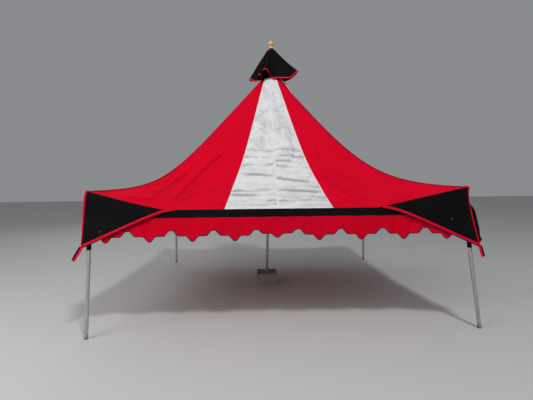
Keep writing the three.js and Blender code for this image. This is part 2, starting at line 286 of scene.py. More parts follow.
def mix_color(tree, factor, first, second, mode="MIX"):
    node = tree.nodes.new("ShaderNodeMix")
    node.data_type = "RGBA"
    node.blend_type = mode
    for socket, value in zip((node.inputs[0], node.inputs[6], node.inputs[7]), (factor, first, second)):
        set_or_link(tree, socket, value)
    return node.outputs[2]


def grey_of(tree, level):
    node = tree.nodes.new("ShaderNodeCombineColor")
    for socket in node.inputs[:3]:
        tree.links.new(level, socket)
    return node.outputs[0]


def noise_node(tree, vector, scale, detail=3.0, roughness=0.5, distortion=0.0):
    node = tree.nodes.new("ShaderNodeTexNoise")
    for name, value in (("Scale", scale), ("Detail", detail), ("Roughness", roughness)):
        node.inputs[name].default_value = value
    node.inputs["Distortion"].default_value = distortion
    tree.links.new(vector, node.inputs["Vector"])
    return node.outputs["Fac"]


def remap(tree, value, low, high, to_low=0.0, to_high=1.0):
    node = tree.nodes.new("ShaderNodeMapRange")
    for socket, number in zip(node.inputs[1:5], (low, high, to_low, to_high)):
        socket.default_value = number
    tree.links.new(value, node.inputs[0])
    return node.outputs[0]


def coordinates(tree, kind):
    return tree.nodes.new("ShaderNodeTexCoord").outputs[kind]


def axes_of(tree, vector):
    split = tree.nodes.new("ShaderNodeSeparateXYZ")
    tree.links.new(vector, split.inputs[0])
    return split.outputs


def weave_height(tree, uv, thread):
    """Over-and-under height of a plain weave from the two UV axes."""
    waves = []
    for axis in axes_of(tree, uv)[:2]:
        turns = math_node(tree, "DIVIDE", axis, thread)
        waves.append(math_node(tree, "SINE", math_node(tree, "MULTIPLY", turns, math.pi)))
    return math_node(tree, "MULTIPLY_ADD", math_node(tree, "MULTIPLY", *waves), 0.5, 0.5)


COLOR, FLOAT = "NodeSocketColor", "NodeSocketFloat"
surface_outputs = [("Color", COLOR), ("Roughness", FLOAT), ("Height", FLOAT)]


def build_cloth_group():
    group, source, result = new_group(
        "Woven cloth",
        [
            ("Color", COLOR, (0.5, 0.5, 0.5, 1)),
            ("Faded color", COLOR, (0.6, 0.6, 0.6, 1)),
            ("Thread size", FLOAT, 0.0008),
            ("Mottle", FLOAT, 0.5),
            ("Rumple", FLOAT, 1.0),
            ("Painted_shade", FLOAT, 0.6),
        ],
        surface_outputs,
    )
    uv, place = coordinates(group, "UV"), coordinates(group, "Object")
    weave = weave_height(group, uv, source.outputs["Thread size"])
    slub = noise_node(group, uv, 420, 2)
    fade = remap(group, noise_node(group, place, 1.3, 4, 0.55), 0.35, 0.68)
    blotch = remap(group, noise_node(group, place, 7, 4, 0.6), 0.3, 0.75)
    faded = math_node(group, "MULTIPLY", fade, source.outputs["Mottle"])
    color = mix_color(group, faded, source.outputs["Color"], source.outputs["Faded color"])
    shade = math_node(group, "MULTIPLY_ADD", blotch, 0.1, 0.93)
    level = math_node(group, "MULTIPLY", shade, math_node(group, "MULTIPLY_ADD", weave, 0.12, 0.93))
    # Painted shade: the sheet's crease layer darkens the cloth's colour along its creases.
    creased = group.nodes.new("ShaderNodeAttribute")
    creased.attribute_name = "crease_shade"
    crease_darkening = math_node(group, "MULTIPLY", creased.outputs["Fac"], source.outputs["Painted_shade"])
    level = math_node(group, "MULTIPLY", level, math_node(group, "SUBTRACT", 1.0, crease_darkening))
    color = mix_color(group, 1.0, color, grey_of(group, level), "MULTIPLY")
    rumple = noise_node(group, place, 9, 5, 0.6, 0.4)
    crumple = noise_node(group, place, 34, 4, 0.6, 0.6)
    height = math_node(group, "MULTIPLY_ADD", crumple, 0.25, rumple)
    height = math_node(group, "MULTIPLY", height, source.outputs["Rumple"])
    height = math_node(group, "MULTIPLY_ADD", weave, 0.02, height)
    height = math_node(group, "MULTIPLY_ADD", slub, 0.02, height)
    group.links.new(color, result.inputs["Color"])
    group.links.new(remap(group, blotch, 0, 1, 0.82, 0.95), result.inputs["Roughness"])
    group.links.new(height, result.inputs["Height"])
    return group


# %% [markdown]
# Seams, hems and webbing are sewn with lockstitch. On the real tent each row is a line of short
# dashes that pull the tape in a little. The group below draws two such rows on a tape's UVs, in
# dashes of 3 mm, and lowers the cloth round them.

# %% Node group for stitched tape


def build_tape_group():
    group, source, result = new_group(
        "Stitched tape",
        [
            ("Color", COLOR, (0.5, 0.5, 0.5, 1)),
            ("Thread color", COLOR, (0.6, 0.6, 0.6, 1)),
            ("Rib size", FLOAT, 0.002),
            ("First row", FLOAT, 0.004),
            ("Second row", FLOAT, 0.016),
        ],
        surface_outputs,
    )
    across, along = axes_of(group, coordinates(group, "UV"))[:2]
    place = coordinates(group, "Object")
    turns = math_node(group, "DIVIDE", along, source.outputs["Rib size"])
    ribs = math_node(group, "SINE", math_node(group, "MULTIPLY", turns, 2 * math.pi))
    ribs = math_node(group, "MULTIPLY_ADD", ribs, 0.5, 0.5)
    dash = math_node(group, "FRACT", math_node(group, "MULTIPLY", along, 1 / 0.0042))
    dash = math_node(group, "LESS_THAN", dash, 0.7)
    near = None
    for row in ("First row", "Second row"):
        distance = math_node(group, "ABSOLUTE", math_node(group, "SUBTRACT", across, source.outputs[row]))
        line = remap(group, distance, 0.0004, 0.0011, 1, 0)
        near = line if near is None else math_node(group, "MAXIMUM", near, line)
    stitch = math_node(group, "MULTIPLY", near, dash)
    wear = noise_node(group, place, 24, 4, 0.6)
    shade = math_node(group, "MULTIPLY_ADD", wear, 0.16, 0.88)
    shade = math_node(group, "MULTIPLY_ADD", ribs, 0.08, shade)
    color = mix_color(group, 1.0, source.outputs["Color"], grey_of(group, shade), "MULTIPLY")
    color = mix_color(group, stitch, color, source.outputs["Thread color"])
    height = math_node(group, "MULTIPLY_ADD", ribs, 0.12, math_node(group, "MULTIPLY", wear, 0.5))
    height = math_node(group, "SUBTRACT", height, math_node(group, "MULTIPLY", near, 0.35))
    height = math_node(group, "MULTIPLY_ADD", stitch, 0.45, height)
    group.links.new(color, result.inputs["Color"])
    group.links.new(remap(group, wear, 0.2, 0.8, 0.7, 0.9), result.inputs["Roughness"])
    group.links.new(height, result.inputs["Height"])
    return group


def grouped_material(name, group, settings, bump, shader_settings):
    """A material with one group behind its color, roughness and bump."""
    material = bpy.data.materials.new(name)
    material.use_nodes = True
    tree = material.node_tree
    shader = tree.nodes["Principled BSDF"]
    surface = tree.nodes.new("ShaderNodeGroup")
    surface.node_tree = group
    for socket_name, value in settings.items():
        surface.inputs[socket_name].default_value = (*value, 1) if isinstance(value, tuple) else value
    tilt = tree.nodes.new("ShaderNodeBump")
    tilt.inputs["Distance"].default_value = bump
    tree.links.new(surface.outputs["Height"], tilt.inputs["Height"])
    tree.links.new(tilt.outputs["Normal"], shader.inputs["Normal"])
    tree.links.new(surface.outputs["Color"], shader.inputs["Base Color"])
    tree.links.new(surface.outputs["Roughness"], shader.inputs["Roughness"])
    for socket_name, value in shader_settings.items():
        shader.inputs[socket_name].default_value = value
    return material


cloth_group = build_cloth_group()
tape_group = build_tape_group()


def canvas(name, color, faded, mottle, rumple):
    settings = {"Color": color, "Faded color": faded, "Mottle": mottle, "Rumple": rumple}
    return grouped_material(name, cloth_group, settings, 0.006, {"Specular IOR Level": 0.05})


def tape(name, color, thread, rows=(0.004, 0.016), rib=0.002):
    settings = {"Color": color, "Thread color": thread, "Rib size": rib}
    settings["First row"], settings["Second row"] = rows
    return grouped_material(name, tape_group, settings, 0.001, {"Specular IOR Level": 0.08})


red_canvas = canvas("red canvas", (0.62, 0.0004, 0.016), (0.68, 0.001, 0.022), 0.6, 0.8)
white_canvas = canvas("white canvas", (0.74, 0.74, 0.75), (0.69, 0.69, 0.69), 0.8, 2.6)
black_canvas = canvas("black canvas", (0.0045, 0.0045, 0.0055), (0.0075, 0.0075, 0.0085), 0.8, 0.9)
white_tape = tape("white seam", (0.72, 0.72, 0.73), (0.60, 0.60, 0.60))
red_webbing = tape("red webbing", (0.68, 0.003, 0.026), (0.45, 0.002, 0.016), (0.004, 0.021), 0.0025)
red_cord = tape("red piping", (0.66, 0.003, 0.024), (0.42, 0.002, 0.014), (0.003, 0.009), 0.0015)
# Painted shade: the hip seam's tape is a dark red that stands in for the shade along the hips.
shaded_hip_seam_tape = tape("red hip seam", (0.26, 0.0006, 0.008), (0.18, 0.0005, 0.005))
black_tape = tape("black binding", (0.005, 0.005, 0.006), (0.03, 0.03, 0.032), (0.003, 0.009))
print("materials:", len(bpy.data.materials), "with the floor's")

# %% [markdown]
# The roof is cut in four faces, and each face in three gores. Seen from the side a hip hangs
# almost straight from the crown and eases out flat into its corner, and the middle of a face
# dips to a lower eave. The same few numbers as in the solid part give that surface.

# %% Shape of the roof
half = 2.135
corner_height, eave_height, crown_height = 1.646, 1.425, 3.484
collar_share, face_bulge, crown_twist = 0.045, 0.055, 0.0233
corners = {
    "front_left": {"x": -1, "y": -1, "knee": 0.2995, "softness": 0.0793, "level": 0.59, "power": 1.2},
    "front_right": {"x": 1, "y": -1, "knee": 0.376, "softness": 0.124, "level": 0.52, "power": 1.05},
    "back_right": {"x": 1, "y": 1, "knee": 0.338, "softness": 0.102, "level": 0.56, "power": 1.12},
    "back_left": {"x": -1, "y": 1, "knee": 0.338, "softness": 0.102, "level": 0.56, "power": 1.12},
}
faces = {
    "front": {"turn": 0.0, "left": "front_left", "right": "front_right"},
    "right": {"turn": math.pi / 2, "left": "front_right", "right": "back_right", "slack": 0.04},
    "back": {"turn": math.pi, "left": "back_right", "right": "back_left"},
    "left": {"turn": -math.pi / 2, "left": "back_left", "right": "front_left"},
}


def soft_ramp(value, knee, softness):
    """Level below its knee and evenly rising beyond it, with a soft bend between."""
    return softness * math.log(1 + math.exp((value - knee) / softness))


@functools.cache
def hip_height(corner, out):
    """Height of a hip, which falls steeply from the crown and eases out level at its corner."""
    shape = corners[corner]
    ends = [soft_ramp(q, shape["knee"], shape["softness"]) for q in (0, 1 - out, 1 - collar_share)]
    return corner_height + (crown_height - corner_height) * (ends[1] - ends[0]) / (ends[2] - ends[0])


@functools.cache
def face_height(face, out):
    """Height of the middle of a face: the mean of its hips, a little fuller, dipping to the eave."""
    swell = face_bulge * math.sin(math.pi * math.sqrt(out)) * (1 - out)
    swell += faces[face].get("slack", 0) * math.exp(-(((out - 0.115) / 0.05) ** 2))
    hips = (hip_height(faces[face]["left"], out) + hip_height(faces[face]["right"], out)) / 2
    return hips + swell - (corner_height - eave_height) * out**4


def hip_share(corner, out, across):
    """How near the cloth is to the hip's height, from 0 at the middle of a face to 1."""
    level = corners[corner]["level"] * out**3
    beyond = max(0.0, (across - level) / (1 - level))
    return beyond ** (corners[corner]["power"] + 0.7 * (1 - out))


def twisted(point, out):
    """The roof is turned about the mast a little, more and more towards the crown."""
    return Matrix.Rotation(-crown_twist * (1 - out) / (half * out), 3, "Z") @ point


def roof_point(face, out, x):
    """A point of a face seen from its own front, with out from 0 at the mast to 1 at the eave."""
    corner = faces[face]["left" if x < 0 else "right"]
    middle = face_height(face, out)
    z = middle + (hip_height(corner, out) - middle) * hip_share(corner, out, min(1.0, abs(x) / (half * out)))
    return twisted(Vector((x, -half * out, z)), out)


def roof_normal(face, out, x):
    step = 0.003
    out = min(out, 1 - step)
    x = max(-half * out + 2 * step, min(half * out - 2 * step, x))
    side = roof_point(face, out, x + step) - roof_point(face, out, x - step)
    down = roof_point(face, out + step, x) - roof_point(face, out - step, x)
    return down.cross(side).normalized()


def white_edge(out):
    """Half the width of the white gore, which grows evenly and turns in towards the eave."""
    return 0.05 + 0.69 * out - 0.46 * soft_ramp(out, 0.73, 0.04)


def hip_edge(out):
    return half * out


slope_steps = 240
slope_length = [0.0]
for step in range(slope_steps):
    lower, upper = 1 - step / slope_steps, max(1e-4, 1 - (step + 1) / slope_steps)
    stretch = roof_point("front", lower, 0) - roof_point("front", upper, 0)
    slope_length.append(slope_length[-1] + stretch.length)


def up_slope(out):
    """Distance up the cloth from the eave, along the middle of a face."""
    spot = (1 - out) * slope_steps
    low = min(int(spot), slope_steps - 1)
    return blend(slope_length[low], slope_length[low + 1], spot - low)


print("roof:", round(up_slope(collar_share), 2), "m from eave to crown")

# %% [markdown]
# Tension and slack make the folds. The white gore is sewn slightly too long for its seams, so it
# gathers into ripples that run out sideways from its middle seam. Low down they are long sagging
# pleats with painted shade under their lips, listed here one by one with their height up the
# cloth at the middle seam and at the outer one. Higher up the slack breaks into crinkles and one
# soft pillow, and painted shade darkens the deeper crinkles. The red gores are tight. A few long
# folds fan out from the corner, and narrow tension creases run down from the crown's side to the
# eave. Those are listed too, each from its upper to its lower end, with how far it bows outwards
# and how strong it is; painted shade darkens each one along its bottom. All folds die out at the
# seams.

# %% Folds in the gores
ripples = {
    -1: ((0.10, 0.11, 0.6), (0.21, 0.18, 0.8), (0.37, 0.38, 1.0), (0.53, 0.47, 1.0), (0.66, 0.60, 0.6),
         (0.83, 0.89, 1.0), (0.93, 0.99, 0.5), (1.06, 1.02, 0.8), (1.18, 1.20, 0.9), (1.31, 1.34, 0.6)),
    1: ((0.09, 0.06, 0.5), (0.19, 0.21, 0.9), (0.34, 0.27, 0.7), (0.51, 0.41, 1.0), (0.65, 0.53, 0.6),
        (0.79, 0.59, 1.1), (0.93, 0.82, 0.6), (1.03, 0.96, 0.7), (1.12, 1.04, 0.9), (1.22, 1.17, 0.8),
        (1.34, 1.31, 0.6)),
}
creases = {
    -1: ((0.66, 1.31, 1.21, 0.09, 0.11, 1.0), (1.09, 0.94, 1.47, 0.17, 0.05, 0.8),
         (0.72, 0.51, 1.14, 0.15, 0.06, 0.6), (0.60, 0.13, 0.90, 0.09, 0.0, 0.7),
         (1.42, 0.15, 1.76, 0.08, 0.0, 0.9), (0.84, 0.78, 1.12, 0.28, 0.05, 0.4)),
    1: ((0.56, 0.89, 1.09, 0.09, 0.02, 0.9), (0.60, 0.68, 0.95, 0.08, 0.05, 0.8),
        (0.66, 0.37, 0.88, 0.14, 0.0, 0.7), (0.61, 1.46, 0.64, 1.10, 0.0, 0.5),
        (1.22, 0.03, 1.62, 0.09, 0.0, 0.8), (0.74, 0.98, 1.18, 0.36, 0.03, 0.4)),
}


def valley(turns, width=0.16):
    """One narrow valley in each turn, between broad low crowns."""
    distance = abs(turns - round(turns))
    return 0.35 - math.exp(-((distance / width) ** 2))


def pleat_distances(x, v, seed):
    """How far above each sewn-in pleat a place lies, with the pleat's strength there."""
    share = min(1.0, abs(x) / 0.62)
    wander = 0.018 * drift(x * 3.0, v * 1.2, seed) + 0.016 * math.sin(seed * 1.7 - 2.55)
    for at_middle, at_edge, strength in ripples[1 if x > 0 else -1]:
        above = v - blend(at_middle, at_edge, share) - wander
        if -0.04 < above < 0.12:
            fading = 0.25 + 0.75 * smooth_step(drift(x * 3.6, at_middle * 9, seed + 7), -0.35, 0.3)
            yield above, strength * fading * smooth_step(abs(x), 0.0, 0.02)


def pleat_height(x, v, seed):
    """A pleat sags over its lower side, so it rises at once there and falls away slowly above."""
    height = 0.0
    for above, strength in pleat_distances(x, v, seed):
        height += strength * smooth_step(above, -0.012, 0.004) * math.exp(-max(0.0, above) / 0.035)
    return height


def painted_pleat_shade(x, v, seed):
    """Painted shade: the white cloth is grey along the lower side of its pleats and in its deeper crinkles.
    """
    crease_shade = 0.0
    for above, strength in pleat_distances(x, v, seed):
        narrow = 0.6 * math.exp(-(((above + 0.007) / 0.013) ** 2))
        crease_shade += strength * (narrow + 0.18 * math.exp(-((above / 0.04) ** 2)))
    hollow = drift(x * 6.0, v * 6.5, seed + 19) + 0.6 * drift(x * 13, v * 12, seed + 23)
    crease_shade += (0.08 + 0.14 * smooth_step(v, 1.0, 1.6)) * smooth_step(hollow, 0.1, -0.45)
    line = abs(drift(x * 7, v * 17, seed + 29) + 0.4 * drift(x * 16, v * 30, seed + 31))
    return min(1.0, crease_shade + 0.32 * math.exp(-((line / 0.05) ** 2)))


def white_fold(x, v, seed):
    """Listed pleats, crinkles that grow towards the crown, one pillow and the seam's pucker."""
    from_seam = smooth_step(abs(x), 0.0, 0.035)
    fine = math.sin(2 * math.pi * (v / 0.055 + 2.2 * drift(x * 2.2, v * 2.0, seed + 3)))
    fine *= 0.0018 * smooth_step(v, 2.8, 1.5) * from_seam
    high = smooth_step(v, 1.0, 1.6)
    streak = 0.016 * drift(x * 11.0, v * 1.3, seed + 11) * high
    crinkle = (0.010 + 0.018 * high) * drift(x * 6.0, v * 6.5, seed + 19)
    crinkle += (0.006 + 0.013 * high) * drift(x * 13, v * 12, seed + 23)
    pillow = 0.024 * smooth_step(math.hypot((x - 0.06) / 0.21, (v - 1.32) / 0.3), 1.12, 0.86)
    pucker = 0.0035 * math.sin(2 * math.pi * v / 0.06) * math.exp(-((x / 0.03) ** 2))
    gather = 0.024 * pleat_height(x, v, seed)
    return gather + fine + streak + crinkle + pucker + pillow * smooth_step(x, 0.0, 0.15)


def crease_distances(x, v, seed):
    """How far outside each tension crease a place lies, with the crease's strength there."""
    here = Vector((abs(x), v - 0.05 * math.sin(seed * 1.7 - 2.55)))
    for start_x, start_v, end_x, end_v, bow, strength in creases[1 if x > 0 else -1]:
        start, run = Vector((start_x, start_v)), Vector((end_x - start_x, end_v - start_v))
        along = (here - start).dot(run) / run.length_squared
        if 0 < along < 1:
            outside = (here - start).dot(Vector((-run.y, run.x))) / run.length
            outside -= bow * math.sin(math.pi * along) + 0.012 * drift(x * 4, v * 4, seed + 31)
            yield outside, strength * smooth_step(along, 0.0, 0.14) * smooth_step(along, 1.0, 0.86)


def painted_tension_shade(x, v, seed):
    """Painted shade: a tension crease is dark along its bottom and a little darker on its inner side."""
    crease_shade = 0.0
    for outside, strength in crease_distances(x, v, seed):
        crease_shade += strength * (0.36 * math.exp(-((outside / 0.013) ** 2))
                            + 0.10 * math.exp(-(((outside + 0.03) / 0.04) ** 2)))
    return min(1.0, crease_shade)


def red_fold(x, v, seed):
    """Folds that fan out from the corner, slow drifts and the listed tension creases."""
    from_corner = Vector((half - abs(x), v + 0.02))
    reach = from_corner.length
    angle = math.atan2(from_corner.y, from_corner.x)
    wander = 0.5 * drift(reach * 0.8, angle * 2.0, seed)
    fan = 0.6 * valley(angle * 4.6 + wander, 0.2) + 0.2 * math.sin(2 * math.pi * (angle * 8 + 2 * wander))
    near = smooth_step(reach, 0.2, 0.8) * smooth_step(reach, 2.8, 1.3)
    strength = 0.5 + 0.5 * drift(reach * 1.5, angle * 3.0, seed + 5)
    broad = 0.016 * drift(x * 1.7, v * 1.5, seed + 13) + 0.004 * drift(x * 6, v * 5, seed + 17)
    height = 0.034 * fan * near * strength + broad
    for outside, depth in crease_distances(x, v, seed):
        ridge = math.exp(-(((outside - 0.032) / 0.024) ** 2))
        height += depth * (0.009 * ridge - 0.010 * math.exp(-((outside / 0.014) ** 2)))
    return height


def face_seed(face):
    return 1.5 + 10.0 * list(faces).index(face)


def folded_point(face, out, x, kind, lift=0.0):
    """A point of a face's folded cloth, lifted off it by so much."""
    seed = face_seed(face)
    # Folds die out at the seams, at the eave and under the collar.
    off_seam = abs(abs(x) - white_edge(out))
    if kind == "red":
        off_seam = min(off_seam, abs(abs(x) - hip_edge(out)))
    calm = smooth_step(off_seam, 0.0, 0.06) * smooth_step(1 - out, 0.0, 0.05)
    calm *= smooth_step(out - collar_share, 0.0, 0.03)
    fold = white_fold if kind == "white" else red_fold
    height = fold(x, up_slope(out), seed) * calm + lift
    point = roof_point(face, out, x) + roof_normal(face, out, x) * height
    return Matrix.Rotation(faces[face]["turn"], 3, "Z") @ point


gore_rows = 360
canvas_thickness, tape_thickness = 0.0012, 0.001
gore_parts = {
    "red_left": (lambda out: -hip_edge(out), lambda out: -white_edge(out), "red"),
    "white": (lambda out: -white_edge(out), white_edge, "white"),
    "red_right": (white_edge, hip_edge, "red"),
}


def make_gore(face, part):
    """One gore as a sheet, with rows that are closer together near the eave."""
    left, right_edge, kind = gore_parts[part]
    columns, rows = (48, gore_rows) if kind == "white" else (84, gore_rows // 2)
    # Painted shade for the creases: under the pleats of the white gore, along the tension creases of the red
    # ones.
    shade_painter = painted_pleat_shade if kind == "white" else painted_tension_shade

    def spot(across, along):
        out = blend(1.0, collar_share, 0.5 * along * (1 + along))
        return out, blend(left(out), right_edge(out), across)

    def place(across, along):
        return folded_point(face, *spot(across, along), kind)

    def measure(across, along):
        out, x = spot(across, along)
        return x, up_slope(out)

    def crease_shade(across, along):
        return shade_painter(*measure(across, along), face_seed(face))

    bm = bent_grid(columns, rows, place, measure, crease_shade)
    area = cloth_area(bm)
    material = white_canvas if kind == "white" else red_canvas
    name = f"{face}_gore_{part}"
    piece = make_piece(bm, f"canvas_{name}", material, f"{kind}_canvas", name)
    return thicken(piece, canvas_thickness), area


gores = {}
for face in faces:
    for part in gore_parts:
        gores[face, part] = make_gore(face, part)
print("gores:", len(gores), "with", round(sum(area for _, area in gores.values()), 1), "m2 of canvas")

# %% [markdown]
# Where two gores meet, the maker folds both edges into a flat felled seam and sews it twice.
# From outside that is a narrow raised strip. Each face has one on either side of the white gore
# and one up its middle. On the hips the seam is fatter, because four layers and a tape meet, and
# its tape is a dark red that paints the shade along the hip.

# %% Seams of the roof
seam_width, seam_swell, seam_foot = 0.013, 0.0016, 0.997
seam_lines = (
    lambda out: -white_edge(out) + seam_width / 2,
    lambda out: white_edge(out) - seam_width / 2,
    lambda out: 0.0,
)


def seam_strip(face, line):
    """A narrow raised strip on the white gore, along x = line(out)."""

    def place(across, along):
        out = blend(seam_foot, collar_share, along)
        x = line(out) + (across - 0.5) * seam_width
        return folded_point(face, out, x, "white", seam_swell * math.sin(math.pi * across) - 0.0002)

    def measure(across, along):
        return across * seam_width, up_slope(blend(seam_foot, collar_share, along))

    return bent_grid(6, gore_rows, place, measure)


def outwards_of(corner, rise=1.2):
    return Vector((corners[corner]["x"], corners[corner]["y"], rise)).normalized()


def hip_point(corner, out, lift):
    """A point of a hip, lifted off it by so much."""
    x, y = corners[corner]["x"] * half * out, corners[corner]["y"] * half * out
    return twisted(Vector((x, y, hip_height(corner, out))), out) + outwards_of(corner) * lift


def hip_swell(name, share):
    """In front on the left the upper half of the seam is folded under, on the right its top."""
    if name == "front_left":
        return blend(0.95, 0.35, smooth_step(share, 0.3, 0.55))
    return blend(0.95, 0.4, smooth_step(share, 0.8, 0.9))


seams, hips = {}, {}
for face in faces:
    strips = [seam_strip(face, line) for line in seam_lines]
    seams[face] = make_piece(join_all(strips), f"seams_{face}", white_tape, "white_canvas")
    thicken(seams[face], tape_thickness)
for name in corners:
    hip_bm = cord_along(
        lambda share: hip_point(name, blend(0.985, collar_share, share), 0.0015),
        lambda share: outwards_of(name), 0.0115, 0.0055, 160, swell=lambda share: hip_swell(name, share),
    )
    hips[name] = make_piece(hip_bm, f"hip_seam_{name}", shaded_hip_seam_tape, "red_canvas")
for (face, part), (piece, area) in gores.items():
    width = 2 * white_edge(1) if part == "white" else half - white_edge(1)
    length = max(up_slope(collar_share), area / width)
print("seams:", len(seams) + len(hips))

# %% [markdown]
# A black band and a red scalloped valance hang from each eave. On the real tent they are one
# strip sewn to the roof's edge, and they hang free, so they swing in soft upright folds that
# grow towards the hem. The folds move inwards, because the wings lie in front of them, and near
# a corner the cloth follows the wing outwards.

# %% Bands and valances
hang_front = half + 0.0043
band_depth = 0.088
band_foot_height = eave_height - band_depth
scallop_pitch, middle_scallop = 0.481, -0.0226
arch_height, scallop_depth, middle_scallop_depth = 1.190, 0.126, 0.092
valance_half = 2.04
hanging_thickness, band_lap = 0.0014, 0.85
wing_push = {"front_left": 0.027, "front_right": 0.021, "back_right": 0.010, "back_left": 0.010}


def eave_of(corner, x):
    return eave_height + (corner_height - eave_height) * hip_share(corner, 1, min(1.0, abs(x) / half))


def eave_line(face, x):
    return eave_of(faces[face]["left" if x < 0 else "right"], x)


def scallop_edge(x):
    """Each scallop is a bracket; the middle seam has drawn its own one up."""
    turns = (x - middle_scallop) / scallop_pitch
    share = abs(turns - round(turns))
    rise = (smooth_step(share, 0.01, 0.16) + smooth_step(share, 0.32, 0.47)) / 2
    return arch_height - (scallop_depth if round(turns) else middle_scallop_depth) * (1 - rise)


def swing(face, x, z):
    """How far the hanging cloth stands inside its plane."""
    seed = 40.5 + 10.0 * list(faces).index(face)
    below = eave_line(face, x) - z
    drop = smooth_step(below, 0.02, 0.36)
    slow = 0.5 + 0.5 * math.sin(2 * math.pi * (x / 0.71 + 0.8 * drift(x * 0.9, 0, seed)))
    quick = valley(x / 0.235 + 0.9 * drift(x * 1.4, z * 0.8, seed + 4), 0.2)
    crumple = drift(x * 9, z * 7, seed + 9)
    free = 1 - smooth_step(abs(x), 1.2, 1.9)
    return (0.0015 + drop * (0.012 + 0.020 * slow - 0.013 * quick) * (0.25 + 0.75 * free)
            + 0.0025 * crumple * smooth_step(below, 0.0, 0.05))


def hanging_point(face, x, z, out=0.0):
    """A point of a face's band or valance, out metres in front of the cloth."""
    corner = faces[face]["left" if x < 0 else "right"]
    below = eave_line(face, x) - z
    push = wing_push[corner] * smooth_step(abs(x), 1.35, 2.0) * smooth_step(below, 0.1, 0.36)
    y = -hang_front + max(0.0005, swing(face, x, z)) - out - push
    return Matrix.Rotation(faces[face]["turn"], 3, "Z") @ Vector((x, y, z))


def band_foot(face, x):
    waver = 0.003 * drift(x * 2.1, 1.0, faces[face]["turn"]) + 0.0015 * math.sin(x * 23)
    return band_foot_height - waver


def make_band(face):
    """The band hangs up to band_lap of its width; the rest is turned in under the eave."""

    def place(across, along):
        x = blend(-valance_half, valance_half, across)
        top = eave_line(face, x)
        if along > band_lap:
            inwards = (along - band_lap) / (1 - band_lap)
            return hanging_point(face, x, top + 0.0025 * math.sin(math.pi * inwards), -0.01 * inwards)
        return hanging_point(face, x, blend(band_foot(face, x), top, along / band_lap), 0.0005)

    return bent_grid(300, 13, place, lambda across, along: (2 * valance_half * across, 0.104 * along))


def make_valance(face):
    def place(across, along):
        x = blend(-valance_half, valance_half, across)
        z = blend(scallop_edge(x), band_foot_height + 0.012, along)
        return hanging_point(face, x, z, -0.0016 * smooth_step(along, 0.9, 1.0))

    return bent_grid(520, 30, place, lambda across, along: (2 * valance_half * across, 0.34 * along))


def valance_binding(face):
    def edge(share):
        x = blend(-valance_half + 0.002, valance_half - 0.002, share)
        return hanging_point(face, x, scallop_edge(x) + 0.002, -hanging_thickness / 2)

    outwards = Matrix.Rotation(faces[face]["turn"], 3, "Z") @ Vector((0, -1, 0))
    return cord_along(edge, lambda share: outwards, 0.0052, 0.0017, 520)


def valance_seam(face):
    def place(across, along):
        z = blend(scallop_edge(middle_scallop) + 0.004, band_foot_height, along)
        x = middle_scallop + (across - 0.5) * 0.011
        return hanging_point(face, x, z, 0.0012 * math.sin(math.pi * across))

    return bent_grid(4, 24, place, lambda across, along: (0.011 * across, 0.3 * along))


red_tape = tape("red seam", (0.55, 0.001, 0.016), (0.35, 0.001, 0.010))
hangings = {}
for face in faces:
    band_bm, valance_bm = make_band(face), make_valance(face)
    areas = cloth_area(band_bm), cloth_area(valance_bm)
    band = make_piece(band_bm, f"band_{face}", black_canvas, "black_canvas", f"{face}_eave_band")
    valance = make_piece(valance_bm, f"scallops_{face}", red_canvas, "red_canvas", f"{face}_valance")
    thicken(band, hanging_thickness)
    thicken(valance, hanging_thickness)
    binding = make_piece(valance_binding(face), f"scallop_binding_{face}", black_tape, "black_canvas")
    seam = make_piece(valance_seam(face), f"valance_seam_{face}", red_tape, "red_canvas")
    thicken(seam, tape_thickness)
    width = 2 * valance_half + 0.03
    tallest = max(eave_line(face, end) - band_foot(face, end) for end in (-valance_half, valance_half))
    min(areas[1], width * 0.37)
    hangings[face] = band, valance
print("bands and valances:", 2 * len(hangings), "areas", [round(a, 2) for a in areas])

# %% [markdown]
# At each corner two black wings fall from the eave and meet in a seam outside the pole. Their
# hem runs from the tip up to the eave, where it melts into the band. The cloth pulls in shallow
# folds towards the tip, which is where the loop of the tie-out is sewn on.

# %% Corner wings
for name, sizes in {
    "front_left": {"inset": 0, "lean": (-0.063, -0.080), "sleeve_foot": 0.992, "tip": 1.039,
                   "shoulder": 0.009},
    "front_right": {"inset": 0.018, "lean": (0.233, 0.034), "sleeve_foot": 0.950, "tip": 0.988,
                    "shoulder": 0, "flare": 0.040},
    "back_right": {"inset": 0, "lean": (0, 0), "sleeve_foot": 0.970, "tip": 1.014, "shoulder": 0.008},
    "back_left": {"inset": 0, "lean": (0, 0), "sleeve_foot": 0.970, "tip": 1.014, "shoulder": 0.008},
}.items():
    corners[name].update(sizes)
strap_reach = {
    "front_left": (0.066, 0.058, -0.140), "front_right": (0.006, 0.052, -0.112),
    "back_right": (0.048, 0.053, -0.140), "back_left": (0.048, 0.053, -0.140),
}
pole_radius, sleeve_outer, wing_gap = 0.022, 0.0265, 0.0003
wing_inner_end, wing_flare, webbing_width, hem_start = 1.170, 0.025, 0.030, 0.003
wing_base, wing_lap, turn_over = 0.0053, 0.96, 0.88


def pole_ends(name):
    """The foot and the head of a pole, whose node lies straight between them."""
    corner = corners[name]
    x = corner["x"] * (hang_front - sleeve_outer - corner["inset"])
    y = corner["y"] * (hang_front - sleeve_outer)
    foot = Vector((x + corner["lean"][0], y + corner["lean"][1], 0))
    return foot, Vector((x, y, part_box(f"pole_{name}")[1].z))


pole_line = {name: pole_ends(name) for name in corners}


def pole_axis(name, z):
    foot, head = pole_line[name]
    return foot.lerp(head, z / head.z)


def wing_tip(name):
    return corners[name]["tip"] - webbing_width / 2


